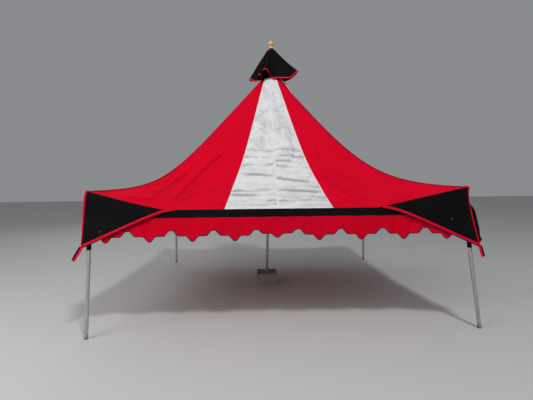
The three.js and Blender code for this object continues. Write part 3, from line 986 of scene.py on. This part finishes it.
def seam_out(name, z):
    """How far out the seam of the two wings runs at a height, in x and in y."""
    share = min(1.0, max(0.0, (corner_height - z) / (corner_height - wing_tip(name))))
    axis = pole_axis(name, min(z, pole_line[name][1].z))
    swell = corners[name]["shoulder"] * math.sin(math.pi * math.sqrt(max(0.0, share - 0.04) / 0.96))
    flare = corners[name].get("flare", wing_flare) * share**2 + swell
    return [max(abs(along) + sleeve_outer, hang_front) + wing_gap + flare for along in axis[:2]]


def wing_hem(name, share):
    """Lower edge of a wing: it melts into the eave at its inner end and falls evenly to the tip."""
    start, here, end = [soft_ramp(place, 0.085, 0.09) for place in (0, share, 1)]
    return blend(eave_height - hem_start, wing_tip(name), (here - start) / (end - start))


def wing_point(name, on_side, share, z, seam_z, off):
    """A point of a corner wing: share from its inner end to the seam, off from its inner face."""
    seam_x, seam_y = seam_out(name, seam_z)
    seam_along, seam_away = (seam_y, seam_x) if on_side else (seam_x, seam_y)
    along = blend(wing_inner_end, seam_along + off, share)
    away = blend(hang_front + wing_gap + off, seam_away + off, share)
    x, y = (away, along) if on_side else (along, away)
    return Vector((corners[name]["x"] * x, corners[name]["y"] * y, z))


def wing_belly(name, on_side, share, along):
    """Shallow folds of a wing, always off its inner face."""
    seed = 70.5 + 4 * list(corners).index(name) + on_side
    middle = math.sin(math.pi * min(1, share * 1.15)) * math.sin(math.pi * min(1, max(0, along)))
    angle = math.atan2(along + 0.12, 1.12 - share)
    fan = valley(angle * 3.3 + 0.5 * drift(share * 2, along * 2, seed), 0.2)
    belly = middle * (0.007 - 0.005 * fan + 0.003 * drift(share * 5, along * 5, seed + 3))
    # The side wing in front on the right bulges outwards just behind its seam.
    if (name, on_side) == ("front_right", True):
        behind = math.exp(-(((share - 0.88) / 0.07) ** 2))
        fall = 1 - 0.15 * smooth_step(along, 0.3, 0.08)
        belly += 0.079 * behind * fall * smooth_step(along, 0.95, 0.55) * smooth_step(along, -0.04, 0.06)
    return belly


def wing_height(name, share, along):
    """Height of a wing's point, from its hem at along 0 to the eave at 1."""
    low = wing_hem(name, share) - 0.008
    return blend(low, eave_of(name, blend(wing_inner_end, half, share)) + 0.001, along)


def wing_spot(name, on_side, share, along, lift=0.0):
    """A point of a wing's folded cloth, lifted off it by so much."""
    seam_z = blend(wing_tip(name), corner_height, along)
    off = wing_base + wing_belly(name, on_side, share, along) + lift
    return wing_point(name, on_side, share, wing_height(name, share, along), seam_z, off)


def make_wing(name, on_side):
    """A wing hangs up to wing_lap of its height; the rest is turned in under the eave."""
    axis, sign = (0, corners[name]["x"]) if on_side else (1, corners[name]["y"])

    def place(across, along):
        point = wing_spot(name, on_side, across, min(1.0, along / wing_lap))
        inwards = max(0.0, along - wing_lap) / (1 - wing_lap)
        point[axis] -= sign * 0.012 * inwards
        point.z += 0.002 * math.sin(math.pi * inwards)
        return point

    return bent_grid(96, 50, place, lambda across, along: (0.98 * across, 0.6 * along))


def hem_strip(name, on_side):
    def place(across, along):
        low = wing_hem(name, across)
        top = min(low + webbing_width, eave_of(name, blend(wing_inner_end, half, across)))
        z = blend(low, top, along)
        up = (z - low + 0.008) / max(0.02, wing_height(name, across, 1) - low + 0.008)
        off = 0.0014 + 0.0012 * math.sin(math.pi * along) + wing_belly(name, on_side, across, up)
        return wing_point(name, on_side, across, z, wing_tip(name), wing_base + max(off, 0.0014))

    return bent_grid(128, 6, place, lambda across, along: (webbing_width * along, 1.07 * across))


def piping_swell(name, share):
    """The piping is fattest where it turns over the corner; in front on the right only there."""
    if name != "front_right":
        return blend(1.05, 2.0, smooth_step(share, 0.1, 0.7)) - 1.1 * smooth_step(share, 0.87, 1.0)
    pulled = smooth_step(share, 0.45, 0.66) * smooth_step(share, 0.87, 0.82)
    return 1.2 - 0.55 * pulled + 0.7 * smooth_step(share, 0.82, 0.88)


def piping(name):
    """A cord up the seam of two wings that turns over the corner on to the roof."""

    def path(share):
        if share < turn_over:
            z = blend(wing_tip(name) + 0.004, corner_height - 0.006, share / turn_over)
            x, y = seam_out(name, z)
            off = wing_base + 0.0045
            return Vector((corners[name]["x"] * (x + off), corners[name]["y"] * (y + off), z))
        turn = (share - turn_over) / (1 - turn_over)
        out = hang_front + 0.010 - 0.040 * turn**1.3
        height = hip_height(name, min(1.0, out / half))
        z = blend(corner_height - 0.006, height + 0.001, smooth_step(turn, 0, 0.35))
        return Vector((corners[name]["x"] * out, corners[name]["y"] * out, z))

    return cord_along(path, lambda share: outwards_of(name, 0.9), 0.0062, 0.0062, 96, 12,
                      swell=lambda share: piping_swell(name, share))


def tie_strand(name, opened):
    """One flat strand of the tie-out loop, from the wing's tip to the loop's end."""
    x, y = seam_out(name, wing_tip(name))
    corner = corners[name]
    start = Vector((corner["x"] * (x + 0.008), corner["y"] * (y + 0.008), wing_tip(name) + 0.006))
    reach = strap_reach[name]
    reach = Vector((corner["x"] * reach[0], corner["y"] * reach[1], reach[2]))
    spread = Vector((corner["x"] * 0.75, -corner["y"] * 0.2, 0.45)).normalized()
    start.y -= corner["y"] * (0.002 + 0.002 * opened)

    def path(share):
        bow = math.sin(math.pi * min(1.0, share * 1.02)) ** 0.8
        return start + reach * share + spread * (opened * (0.003 * bow + 0.0105))

    return cord_along(path, lambda share: reach.cross(spread), 0.0132, 0.0022, 40)


def spin_round(bm, steps):
    """Spins an outline once round the upright axis."""
    bmesh.ops.spin(bm, geom=bm.edges[:] + bm.verts[:], cent=(0, 0, 0), axis=(0, 0, 1), angle=2 * math.pi,
                   steps=steps, use_merge=True)
    close_round(bm)


eyelet_radius, eyelet_wire = 0.0085, 0.0024
eyelet_spots = {("front_left", False): (0.815, 0.20), ("front_right", False): (0.76, 0.40)}


def eyelet(name, on_side):
    """A pressed metal ring, turned to lie on the wing."""
    share, along = eyelet_spots.get((name, on_side), (0.835, 0.42))
    here = wing_spot(name, on_side, share, along, 0.0008)
    across = wing_spot(name, on_side, share + 0.02, along) - here
    upwards = wing_spot(name, on_side, share, along + 0.02) - here
    normal = across.cross(upwards).normalized()
    corner = corners[name]
    if normal.dot(Vector((corner["x"] * on_side, corner["y"] * (1 - on_side), 0))) < 0:
        normal.negate()
    bm = bmesh.new()
    ring = bmesh.ops.create_circle(bm, segments=10, radius=eyelet_wire)["verts"]
    upright = Matrix.Translation((eyelet_radius, 0, 0)) @ Matrix.Rotation(math.pi / 2, 4, "X")
    bmesh.ops.transform(bm, verts=ring, matrix=upright)
    spin_round(bm, 32)
    turn = normal.to_track_quat("Z", "Y").to_matrix().to_4x4()
    bmesh.ops.transform(bm, verts=bm.verts, matrix=Matrix.Translation(here) @ turn)
    return bm


wings = {}
eyelet_metal = plain_material("eyelet metal", (0.09, 0.09, 0.095), 0.5)
eyelet_metal.node_tree.nodes["Principled BSDF"].inputs["Metallic"].default_value = 0.8
for name in corners:
    cord = make_piece(piping(name), f"piping_{name}", red_cord, "red_webbing", f"binding_{name}")
    strands = [
        make_piece(tie_strand(name, 1), f"tie_black_{name}", black_tape, "black_canvas"),
        make_piece(tie_strand(name, -1), f"tie_red_{name}", red_webbing, "red_webbing"),
    ]
    for on_side, part in ((False, "across"), (True, "side")):
        bm = make_wing(name, on_side)
        area = cloth_area(bm)
        node_name = f"wing_{name}_{part}"
        wing = make_piece(bm, f"cloth_{node_name}", black_canvas, "black_canvas", node_name)
        thicken(wing, canvas_thickness, 0.0)
        hem = make_piece(hem_strip(name, on_side), f"hem_{name}_{part}", red_webbing, "red_webbing")
        thicken(hem, canvas_thickness, 0.0)
        ring = make_piece(eyelet(name, on_side), f"eyelet_{name}_{part}", eyelet_metal, "galvanised_tube")
        wings[name, part] = wing
print("wings:", len(wings), "and the last one has", round(area, 2), "m2")

# %% [markdown]
# The poles are galvanised steel tube. Hot zinc freezes in flat crystals of a few centimetres, so
# the metal shows patches of slightly different grey, called spangle. The tube has fine drawing
# marks along its length, dull smudges from hands and some dry mud near the ground.

# %% Node group for galvanised steel


def voronoi_node(tree, vector, scale, feature="F1", output="Distance"):
    node = tree.nodes.new("ShaderNodeTexVoronoi")
    node.feature = feature
    node.inputs["Scale"].default_value = scale
    tree.links.new(vector, node.inputs["Vector"])
    return node.outputs[output]


def stretched(tree, vector, factors):
    node = tree.nodes.new("ShaderNodeVectorMath")
    node.operation = "MULTIPLY"
    node.inputs[1].default_value = factors
    tree.links.new(vector, node.inputs[0])
    return node.outputs[0]


def build_steel_group():
    group, source, result = new_group(
        "Galvanised steel",
        [
            ("Color", COLOR, (0.5, 0.52, 0.52, 1)),
            ("Dirt color", COLOR, (0.16, 0.12, 0.09, 1)),
            ("Dirt height", FLOAT, 0.12),
        ],
        surface_outputs,
    )
    place = coordinates(group, "Object")
    cells = voronoi_node(group, stretched(group, place, (1, 1, 0.6)), 75, output="Color")
    spangle = axes_of(group, cells)[0]
    cloud = noise_node(group, place, 6, 4, 0.6)
    drawn = noise_node(group, stretched(group, place, (260, 260, 5)), 1, 3)
    level = math_node(group, "MULTIPLY_ADD", spangle, 0.16, 0.80)
    level = math_node(group, "MULTIPLY_ADD", cloud, 0.22, level)
    color = mix_color(group, 1.0, source.outputs["Color"], grey_of(group, level), "MULTIPLY")
    height = axes_of(group, place)[2]
    above = math_node(group, "DIVIDE", height, source.outputs["Dirt height"])
    above = math_node(group, "MULTIPLY", above, 0.5)
    splash = math_node(group, "SUBTRACT", noise_node(group, place, 45, 4, 0.65), above)
    dirt = remap(group, splash, 0.28, 0.5)
    color = mix_color(group, dirt, color, source.outputs["Dirt color"])
    rough = math_node(group, "MULTIPLY_ADD", spangle, 0.12, 0.34)
    rough = math_node(group, "MULTIPLY_ADD", cloud, 0.16, rough)
    rough = math_node(group, "MAXIMUM", rough, math_node(group, "MULTIPLY", dirt, 0.9))
    bumps = math_node(group, "MULTIPLY_ADD", drawn, 0.35, math_node(group, "MULTIPLY", spangle, 0.25))
    group.links.new(color, result.inputs["Color"])
    group.links.new(rough, result.inputs["Roughness"])
    group.links.new(bumps, result.inputs["Height"])
    return group


galvanised = grouped_material("galvanised tube", build_steel_group(), {}, 0.0006, {"Metallic": 0.85})
print("steel group ready")

# %% [markdown]
# A corner pole is two tubes, and the upper one slips into the swaged head of the lower one a
# little below the sleeve. Each tube is spun from its outline and left open at the ends, then
# given its wall. A shear leans it, so that its foot and its head stay level, as in the frame.

# %% Poles and mast
tube_wall, pole_joint_height, mast_joint_height = 0.0017, 0.888, 2.04


def turned(profile, steps=48):
    """An outline of (radius, height) points, spun round the upright axis."""
    bm = bmesh.new()
    chain = [bm.verts.new((radius, 0, height)) for radius, height in profile]
    for lower, upper in zip(chain, chain[1:]):
        bm.edges.new((lower, upper))
    spin_round(bm, steps)
    return bm


def lean_over(bm, foot, head):
    """Shears an upright round so that its axis runs from foot to head."""
    rise = head.z - foot.z
    shear = Matrix.Identity(4)
    shear[0][2], shear[1][2] = (head.x - foot.x) / rise, (head.y - foot.y) / rise
    move = Matrix.Translation((foot.x, foot.y, 0)) @ shear @ Matrix.Translation((0, 0, -foot.z))
    bmesh.ops.transform(bm, verts=bm.verts, matrix=Matrix.Translation((0, 0, foot.z)) @ move)


def swaged_tube(low, joint_height, high):
    """Outline of two tubes, where the upper one stands in the flared head of the lower one."""
    lower, upper, flare = 0.0222, 0.0206, 0.0243
    return [
        (lower - 0.0006, low), (lower, low + 0.001), (lower, joint_height - 0.045),
        (flare, joint_height - 0.037), (flare, joint_height - 0.003), (flare - 0.0006, joint_height),
        (upper + 0.0003, joint_height + 0.0005), (upper, joint_height + 0.003), (upper, high),
    ]


def make_tube(name, foot, head, joint_height):
    bm = turned(swaged_tube(foot.z, joint_height, head.z))
    lean_over(bm, foot, head)
    tube = make_piece(bm, f"tube_{name}", galvanised, "galvanised_tube", name)
    thicken(tube, tube_wall)
    bevel = tube.modifiers.new("rim", "BEVEL")
    bevel.width, bevel.segments, bevel.limit_method = 0.0004, 2, "ANGLE"


for name, (foot, head) in pole_line.items():
    make_tube(f"pole_{name}", foot, head, pole_joint_height)
block_gap_middle = (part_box("block_left")[1].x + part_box("block_right")[0].x) / 2
mast_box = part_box("mast")
mast_foot = Vector((block_gap_middle, mast_box[1].y - pole_radius, mast_box[0].z))
mast_head = Vector((0, 0, mast_box[1].z))
make_tube("mast", mast_foot, mast_head, mast_joint_height)
print("tubes:", len(pole_line) + 1, "mast foot", [round(c, 3) for c in mast_foot])

# %% [markdown]
# A black cloth sleeve is sewn into each corner and slips over the head of its pole. It is wider
# than the tube, so it hangs in small cross folds and ends in a doubled hem below the wing's tip.

# %% Sleeves


def make_sleeve(name):
    """A loose tube of cloth round the head of a pole, never wider than the node."""
    low, high = corners[name]["sleeve_foot"], pole_line[name][1].z - 0.001
    seed = 90.5 + 3 * list(corners).index(name)

    def place(across, along):
        z = blend(low, high, along)
        angle = 2 * math.pi * across
        here = Vector((math.cos(angle), math.sin(angle)))
        folds = valley(z / 0.07 + 0.35 * math.sin(angle + seed) + 0.8 * drift(z * 4, here.x, seed), 0.22)
        upright = drift(here.x * 1.6, here.y * 1.6 + z, seed + 4)
        radius = min(0.0262, 0.0246 - 0.0009 * folds + 0.0011 * upright)
        radius += 0.0008 * smooth_step(z - low, 0.026, 0.022)
        centre = pole_axis(name, z)
        return centre + Vector((here.x, here.y, 0)) * min(radius, 0.0266)

    bm = bent_grid(48, 120, place, lambda across, along: (0.155 * across, (high - low) * along))
    close_round(bm)
    area = cloth_area(bm)
    sleeve = make_piece(bm, f"cloth_sleeve_{name}", black_canvas, "black_canvas", f"sleeve_{name}")
    thicken(sleeve, canvas_thickness)


for name in corners:
    make_sleeve(name)
print("sleeves:", len(corners))

# %% [markdown]
# At the crown all twelve gores end under a square of doubled canvas, which laps over them. A cord
# draws it in round the mast, so it rises from its square rim to a pleated neck, with a short
# frill above the cord.

# %% Crown collar
neck_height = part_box("crown_collar")[1].z - 0.022
pleats, collar_rim, rim_share, cord_share = 18, 0.068, 0.2, 0.84


def mast_axis(z):
    share = (z - mast_foot.z) / (mast_head.z - mast_foot.z)
    return mast_foot.lerp(mast_head, share)


def roof_towards(direction, out):
    """The point of the roof that lies in a direction from the mast."""
    for face in faces:
        turn = Matrix.Rotation(faces[face]["turn"], 3, "Z")
        local = turn.transposed() @ direction
        if local.y < 0 and abs(local.x) <= -local.y + 1e-6:
            return turn @ roof_point(face, out, half * out * local.x / -local.y)


def collar_point(turn, share, lift=0.0):
    """share runs from the rim at 0, up over the gores, past the cord, to the frill's end at 1."""
    angle = 2 * math.pi * turn
    direction = Vector((math.cos(angle), math.sin(angle), 0))
    away = twisted(direction, collar_share)
    up = min(1.0, max(0.0, share - rim_share) / (cord_share - rim_share))
    start = roof_towards(direction, blend(collar_rim, collar_share, min(1.0, share / rim_share)))
    start += away * 0.002 + Vector((0, 0, 0.003))
    pleat = 0.5 + 0.5 * math.sin(pleats * angle + 1.2 * drift(direction.x, direction.y, 5.5))
    frill = max(0.0, share - cord_share) / (1 - cord_share)
    reach = 0.0305 + 0.0035 * pleat + (0.006 + 0.006 * pleat) * frill
    neck = mast_axis(neck_height) + away * reach
    bulge = away * (0.006 * pleat * math.sin(math.pi * up) + lift)
    point = start.lerp(neck, up**0.8) + bulge
    point.z = blend(start.z, neck_height, up**1.15) + 0.02 * frill
    return point


collar_bm = bent_grid(144, 36, collar_point, lambda turn, share: (0.6 * turn, 0.16 * share))
close_round(collar_bm, 1e-6)
collar_area = cloth_area(collar_bm)
collar = make_piece(collar_bm, "cloth_crown_collar", black_canvas, "black_canvas", "crown_collar")
thicken(collar, canvas_thickness)
tie_bm = cord_along(
    lambda share: collar_point(share, cord_share, 0.002),
    lambda share: Vector((math.cos(2 * math.pi * share), math.sin(2 * math.pi * share), 0)),
    0.0032, 0.0032, 72, 10, loop=True,
)
tie = make_piece(tie_bm, "crown_tie", black_tape, "black_canvas")
print("collar:", round(collar_area, 3), "m2")

# %% [markdown]
# The cap is a loose black cone that keeps rain out of the crown. It sits askew: a flat panel
# stands out to the right, and on the left the slack runs down into two flutes that end in round
# arches. The cloth is nearly straight from the neck down to the hem, so the hem's path settles
# the shape. Its points are given one by one and joined by a smooth closed curve.

# %% Cap
cap_hem = [
    Vector(point)
    for point in (
        (0.295, -0.222, 3.421), (0.378, -0.130, 3.503), (0.446, 0.000, 3.604), (0.430, 0.200, 3.600),
        (0.335, 0.300, 3.548), (0.215, 0.335, 3.520), (0.030, 0.350, 3.560), (-0.200, 0.330, 3.540),
        (-0.340, 0.240, 3.500), (-0.375, 0.060, 3.480), (-0.354, -0.130, 3.425), (-0.263, -0.235, 3.362),
        (-0.229, -0.250, 3.376), (-0.229, -0.275, 3.420), (-0.220, -0.290, 3.450), (-0.202, -0.290, 3.462),
        (-0.188, -0.255, 3.446), (-0.182, -0.214, 3.420), (-0.177, -0.250, 3.452), (-0.167, -0.285, 3.486),
        (-0.148, -0.312, 3.522), (-0.113, -0.322, 3.535), (-0.076, -0.310, 3.519), (-0.052, -0.290, 3.483),
        (-0.034, -0.245, 3.455), (-0.020, -0.203, 3.429), (0.051, -0.202, 3.427), (0.182, -0.206, 3.426),
    )
]
neck_radius, binding_share, cap_thickness = 0.066, 0.975, 0.0014
cap_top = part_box("cap")[1].z
neck_top = cap_top - 0.004


def smooth_through(points, share, closed=True):
    """A centripetal Catmull-Rom curve through points, at share from 0 to 1."""
    spans = len(points) if closed else len(points) - 1
    place = (share % 1.0 if closed else share) * spans
    i = min(int(place), spans - 1)
    last = len(points) - 1
    around = range(i - 1, i + 3)
    near = [points[k % len(points)] if closed else points[min(max(k, 0), last)] for k in around]
    times = [0.0]
    for a, b in zip(near, near[1:]):
        times.append(times[-1] + max(1e-4, (b - a).length**0.5))
    t = blend(times[1], times[2], place - i)
    level = near
    for depth in (1, 2, 3):
        level = [
            level[k] * ((times[k + depth] - t) / (times[k + depth] - times[k]))
            + level[k + 1] * ((t - times[k]) / (times[k + depth] - times[k]))
            for k in range(len(level) - 1)
        ]
    return level[0]


def cap_point(turn, share):
    """share runs from the neck at 0 to the hem at 1."""
    hem = smooth_through(cap_hem, turn)
    direction = Vector((hem.x, hem.y, 0)).normalized()
    neck = direction * neck_radius + Vector((0, 0, neck_top))
    point = neck.lerp(hem, share)
    side = Vector((-direction.y, direction.x, 0))
    normal = (hem - neck).cross(side).normalized()
    if normal.z < 0:
        normal.negate()
    angle = math.atan2(direction.y, direction.x)
    gather = 0.004 * math.sin(13 * angle + 2 * drift(angle, 0, 8.5)) * math.exp(-((share / 0.25) ** 2))
    sag = -0.012 * math.sin(math.pi * share) * smooth_step(direction.x, -0.2, 0.6)
    crease = 0.006 * drift(angle * 2.6, share * 1.4, 3.5) * math.sin(math.pi * min(1, share * 1.1))
    return point + normal * (gather + sag + crease)


def cap_normal(turn, share):
    step = 0.002
    around = cap_point(turn + step, share) - cap_point(turn - step, share)
    down = cap_point(turn, min(1, share + step)) - cap_point(turn, share - step)
    return down.cross(around).normalized()


cap_bm = bent_grid(336, 44, cap_point, lambda turn, share: (2.3 * turn, 0.6 * share))
close_round(cap_bm, 1e-6)
cap_area = cloth_area(cap_bm)
cap = make_piece(cap_bm, "cloth_cap", black_canvas, "black_canvas", "cap")
thicken(cap, cap_thickness, 0.0)
cap_binding_bm = cord_along(
    lambda turn: cap_point(turn, binding_share) + cap_normal(turn, binding_share) * 0.0019,
    lambda turn: cap_normal(turn, binding_share), 0.0135, 0.0012, 336, 8, loop=True,
)
cap_binding = make_piece(cap_binding_bm, "cap_binding", red_webbing, "red_webbing")


def neck_tape(first, last, drops, spread, half_width):
    """A strip on the cap's top from one angle to another, so far below the top at each end."""

    def path(share):
        angle, drop = math.radians(blend(first, last, share)), blend(*drops, share)
        reach = neck_radius + drop * spread + 0.0015
        return Vector((reach * math.cos(angle), reach * math.sin(angle), neck_top - drop))

    def outwards(share):
        angle = math.radians(blend(first, last, share))
        return Vector((math.cos(angle), math.sin(angle), spread))

    return cord_along(path, outwards, half_width, 0.0015, 48)


neck_bm = join_all([
    neck_tape(176, 262, (0.026, 0.003), 0.62, 0.009),
    neck_tape(296, 352, (0.001, 0.006), 0.9, 0.005),
])
neck_binding = make_piece(neck_bm, "cap_neck_binding", red_webbing, "red_webbing")
crown_rings = ((0.0005, 0.001), (0.030, 0.001), (neck_radius * 0.9, 0.004), (neck_radius, 0.012))
crown_bm = turned([(radius, cap_top - drop) for radius, drop in crown_rings])
crown_disc = make_piece(crown_bm, "cap_crown", black_canvas, "black_canvas")
thicken(crown_disc, canvas_thickness)
print("cap:", round(cap_area, 3), "m2")

# %% [markdown]
# The finial is a turned hardwood acorn on a flared foot, oiled to a warm gold. The grain of the
# blank runs upright, so the turned curves cut through it in long ovals. The group makes growth
# rings round an axis that stands a little outside the piece and adds fine pores along the grain.

# %% Node group for turned wood


def build_wood_group():
    group, source, result = new_group(
        "Turned wood",
        [
            ("Early wood", COLOR, (0.86, 0.50, 0.16, 1)),
            ("Late wood", COLOR, (0.52, 0.23, 0.05, 1)),
            ("Ring size", FLOAT, 0.006),
        ],
        surface_outputs,
    )
    place = coordinates(group, "Object")
    across, away, up = axes_of(group, place)
    wander = noise_node(group, stretched(group, place, (14, 14, 5)), 1, 4, 0.6)
    side = math_node(group, "MULTIPLY_ADD", up, 0.06, math_node(group, "SUBTRACT", across, 0.32))
    back = math_node(group, "SUBTRACT", away, 0.05)
    reach = math_node(group, "SQRT", math_node(group, "ADD", math_node(group, "MULTIPLY", side, side),
                                               math_node(group, "MULTIPLY", back, back)))
    reach = math_node(group, "MULTIPLY_ADD", wander, 0.010, reach)
    ring = math_node(group, "FRACT", math_node(group, "DIVIDE", reach, source.outputs["Ring size"]))
    ring = math_node(group, "POWER", ring, 2.2)
    pores = noise_node(group, stretched(group, place, (900, 900, 40)), 1, 2)
    pore = remap(group, pores, 0.34, 0.44, 1.0, 0.0)
    cloud = noise_node(group, place, 18, 3)
    color = mix_color(group, ring, source.outputs["Early wood"], source.outputs["Late wood"])
    shade = math_node(group, "MULTIPLY_ADD", pore, -0.18, 0.92)
    shade = math_node(group, "MULTIPLY_ADD", cloud, 0.2, shade)
    color = mix_color(group, 1.0, color, grey_of(group, shade), "MULTIPLY")
    group.links.new(color, result.inputs["Color"])
    group.links.new(remap(group, cloud, 0.2, 0.8, 0.28, 0.42), result.inputs["Roughness"])
    group.links.new(math_node(group, "MULTIPLY_ADD", pore, -0.5, math_node(group, "MULTIPLY", ring, 0.3)),
                    result.inputs["Height"])
    return group


oiled_wood = grouped_material("oiled hardwood", build_wood_group(), {}, 0.0006,
                              {"Coat Weight": 0.25, "Coat Roughness": 0.25, "Specular IOR Level": 0.4})
print("wood group ready")

# %% [markdown]
# The outline of the finial is spun like work on a lathe. A black rubber washer keeps it off the
# cloth and stops water from running in along the screw.

# %% Finial
washer_height, washer_radius = 0.023, 0.037
finial_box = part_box("finial")
finial_low = finial_box[0].z + washer_height
finial_tall = finial_box[1].z - finial_low
finial_outline = [
    (0.040, 0.0), (0.045, 0.03), (0.0455, 0.08), (0.041, 0.13), (0.034, 0.18), (0.026, 0.25),
    (0.0215, 0.31), (0.0205, 0.37), (0.0225, 0.415), (0.034, 0.44), (0.0425, 0.47), (0.0465, 0.53),
    (0.0475, 0.59), (0.0455, 0.66), (0.040, 0.74), (0.031, 0.82), (0.0205, 0.90), (0.011, 0.96),
    (0.0004, 1.0),
]
finial_curve = [Vector((radius, share * finial_tall, 0)) for radius, share in finial_outline]
finial_steps = 90
finial_profile = [(0.0004, finial_low)]
for i in range(finial_steps + 1):
    spot = smooth_through(finial_curve, i / finial_steps, False)
    finial_profile.append((spot.x, finial_low + spot.y))
make_piece(turned(finial_profile, 56), "turned_finial", oiled_wood, "turned_wood", "finial")
washer_outline = [
    (0.0004, 0), (washer_radius - 0.003, 0), (washer_radius, 0.003), (washer_radius, washer_height - 0.004),
    (washer_radius - 0.003, washer_height - 0.0005), (0.0004, washer_height - 0.0005),
]
rubber = plain_material("black rubber", (0.012, 0.012, 0.013), 0.6)
washer_bm = turned([(radius, finial_box[0].z + rise) for radius, rise in washer_outline])
make_piece(washer_bm, "finial_washer", rubber, "black_canvas")
print("finial:", len(finial_profile), "outline points")

# %% [markdown]
# The mast stands on two hollow concrete blocks laid side by side. Pressed concrete is a dry mix,
# so its skin is open and sandy, with pits where grains fell out and a few darker stones. Blocks
# chip at their corners, which the bevel and the bump make soft.

# %% Node group for concrete


def build_concrete_group():
    group, source, result = new_group(
        "Pressed concrete",
        [("Color", COLOR, (0.30, 0.29, 0.27, 1)), ("Stone color", COLOR, (0.16, 0.15, 0.14, 1))],
        surface_outputs,
    )
    place = coordinates(group, "Object")
    cloud = noise_node(group, place, 9, 5, 0.65)
    sand = noise_node(group, place, 260, 4, 0.7)
    grains = voronoi_node(group, place, 160)
    pits = remap(group, voronoi_node(group, place, 95), 0.12, 0.24, 1, 0)
    picked = remap(group, noise_node(group, place, 60, 2), 0.5, 0.6)
    pits = math_node(group, "MULTIPLY", pits, picked)
    stones = remap(group, voronoi_node(group, place, 48), 0.16, 0.22, 1, 0)
    stones = math_node(group, "MULTIPLY", stones, 0.5)
    color = mix_color(group, stones, source.outputs["Color"], source.outputs["Stone color"])
    level = math_node(group, "MULTIPLY_ADD", cloud, 0.5, 0.62)
    level = math_node(group, "MULTIPLY_ADD", sand, 0.35, level)
    # Painted shade: the pits are darker in colour, as well as sunk in the bump.
    level = math_node(group, "MULTIPLY_ADD", pits, -0.45, level)
    color = mix_color(group, 1.0, color, grey_of(group, level), "MULTIPLY")
    height = math_node(group, "MULTIPLY_ADD", sand, 0.7, math_node(group, "MULTIPLY", grains, 0.4))
    height = math_node(group, "MULTIPLY_ADD", pits, -1.0, height)
    group.links.new(color, result.inputs["Color"])
    group.links.new(remap(group, cloud, 0, 1, 0.88, 1.0), result.inputs["Roughness"])
    group.links.new(height, result.inputs["Height"])
    return group


dull = {"Specular IOR Level": 0.2}
concrete = grouped_material("pressed concrete", build_concrete_group(), {}, 0.002, dull)
print("concrete group ready")

# %% [markdown]
# A block starts as a flat sheet. Cuts mark the walls, the two core fields are taken out, and the
# rest is pulled up to its height. The upright edges inside the cores get a large radius, because
# the mould's plugs are rounded, and all sharp edges get a small one.

# %% Blocks
block_shell, core_rounding, edge_rounding = 0.032, 0.013, 0.0028


def make_block(name):
    """One hollow block that fills its node's box."""
    low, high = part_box(name)
    size = high - low
    core = (size.y - 3 * block_shell) / 2
    bm = bmesh.new()
    bmesh.ops.create_grid(bm, x_segments=1, y_segments=1, size=0.5)
    centre = (low + high) / 2
    move = Matrix.Translation((centre.x, centre.y, low.z))
    bmesh.ops.transform(bm, verts=bm.verts, matrix=move @ Matrix.Diagonal((size.x, size.y, 1, 1)))
    cuts = [(low.x + block_shell, 0), (high.x - block_shell, 0)]
    shifts = (0, core, core + block_shell, 2 * core + block_shell)
    cuts += [(low.y + block_shell + shift, 1) for shift in shifts]
    for spot, axis in cuts:
        normal = Vector((1, 0, 0)) if axis == 0 else Vector((0, 1, 0))
        everything = bm.verts[:] + bm.edges[:] + bm.faces[:]
        bmesh.ops.bisect_plane(bm, geom=everything, plane_co=normal * spot, plane_no=normal)
    cores = []
    for face in bm.faces:
        middle = face.calc_center_median()
        inside_x = low.x + block_shell < middle.x < high.x - block_shell
        off_web = abs(middle.y - (low.y + high.y) / 2) > block_shell / 2
        inside_y = low.y + block_shell < middle.y < high.y - block_shell
        if inside_x and inside_y and off_web:
            cores.append(face)
    bmesh.ops.delete(bm, geom=cores, context="FACES")
    raised = bmesh.ops.extrude_face_region(bm, geom=bm.faces[:])["geom"]
    tops = [item for item in raised if isinstance(item, bmesh.types.BMVert)]
    bmesh.ops.translate(bm, verts=tops, vec=(0, 0, size.z))
    bmesh.ops.recalc_face_normals(bm, faces=bm.faces)
    upright = [
        edge for edge in bm.edges
        if abs(edge.verts[0].co.z - edge.verts[1].co.z) > size.z / 2 and edge.calc_face_angle(0) > 1
    ]
    inner = [edge for edge in upright if low.x + 0.01 < edge.verts[0].co.x < high.x - 0.01]
    round_off = {"profile": 0.5, "affect": "EDGES", "material": -1}
    bmesh.ops.bevel(bm, geom=inner, offset=core_rounding, segments=5, **round_off)
    bm.normal_update()
    sharp = [edge for edge in bm.edges if edge.calc_face_angle(0) > 0.7]
    bmesh.ops.bevel(bm, geom=sharp, offset=edge_rounding, segments=2, **round_off)
    return make_piece(bm, f"concrete_{name}", concrete, "concrete", name, smooth=False)


for name in ("block_left", "block_right"):
    block = make_block(name)
    print(name, len(block.data.polygons), "faces")
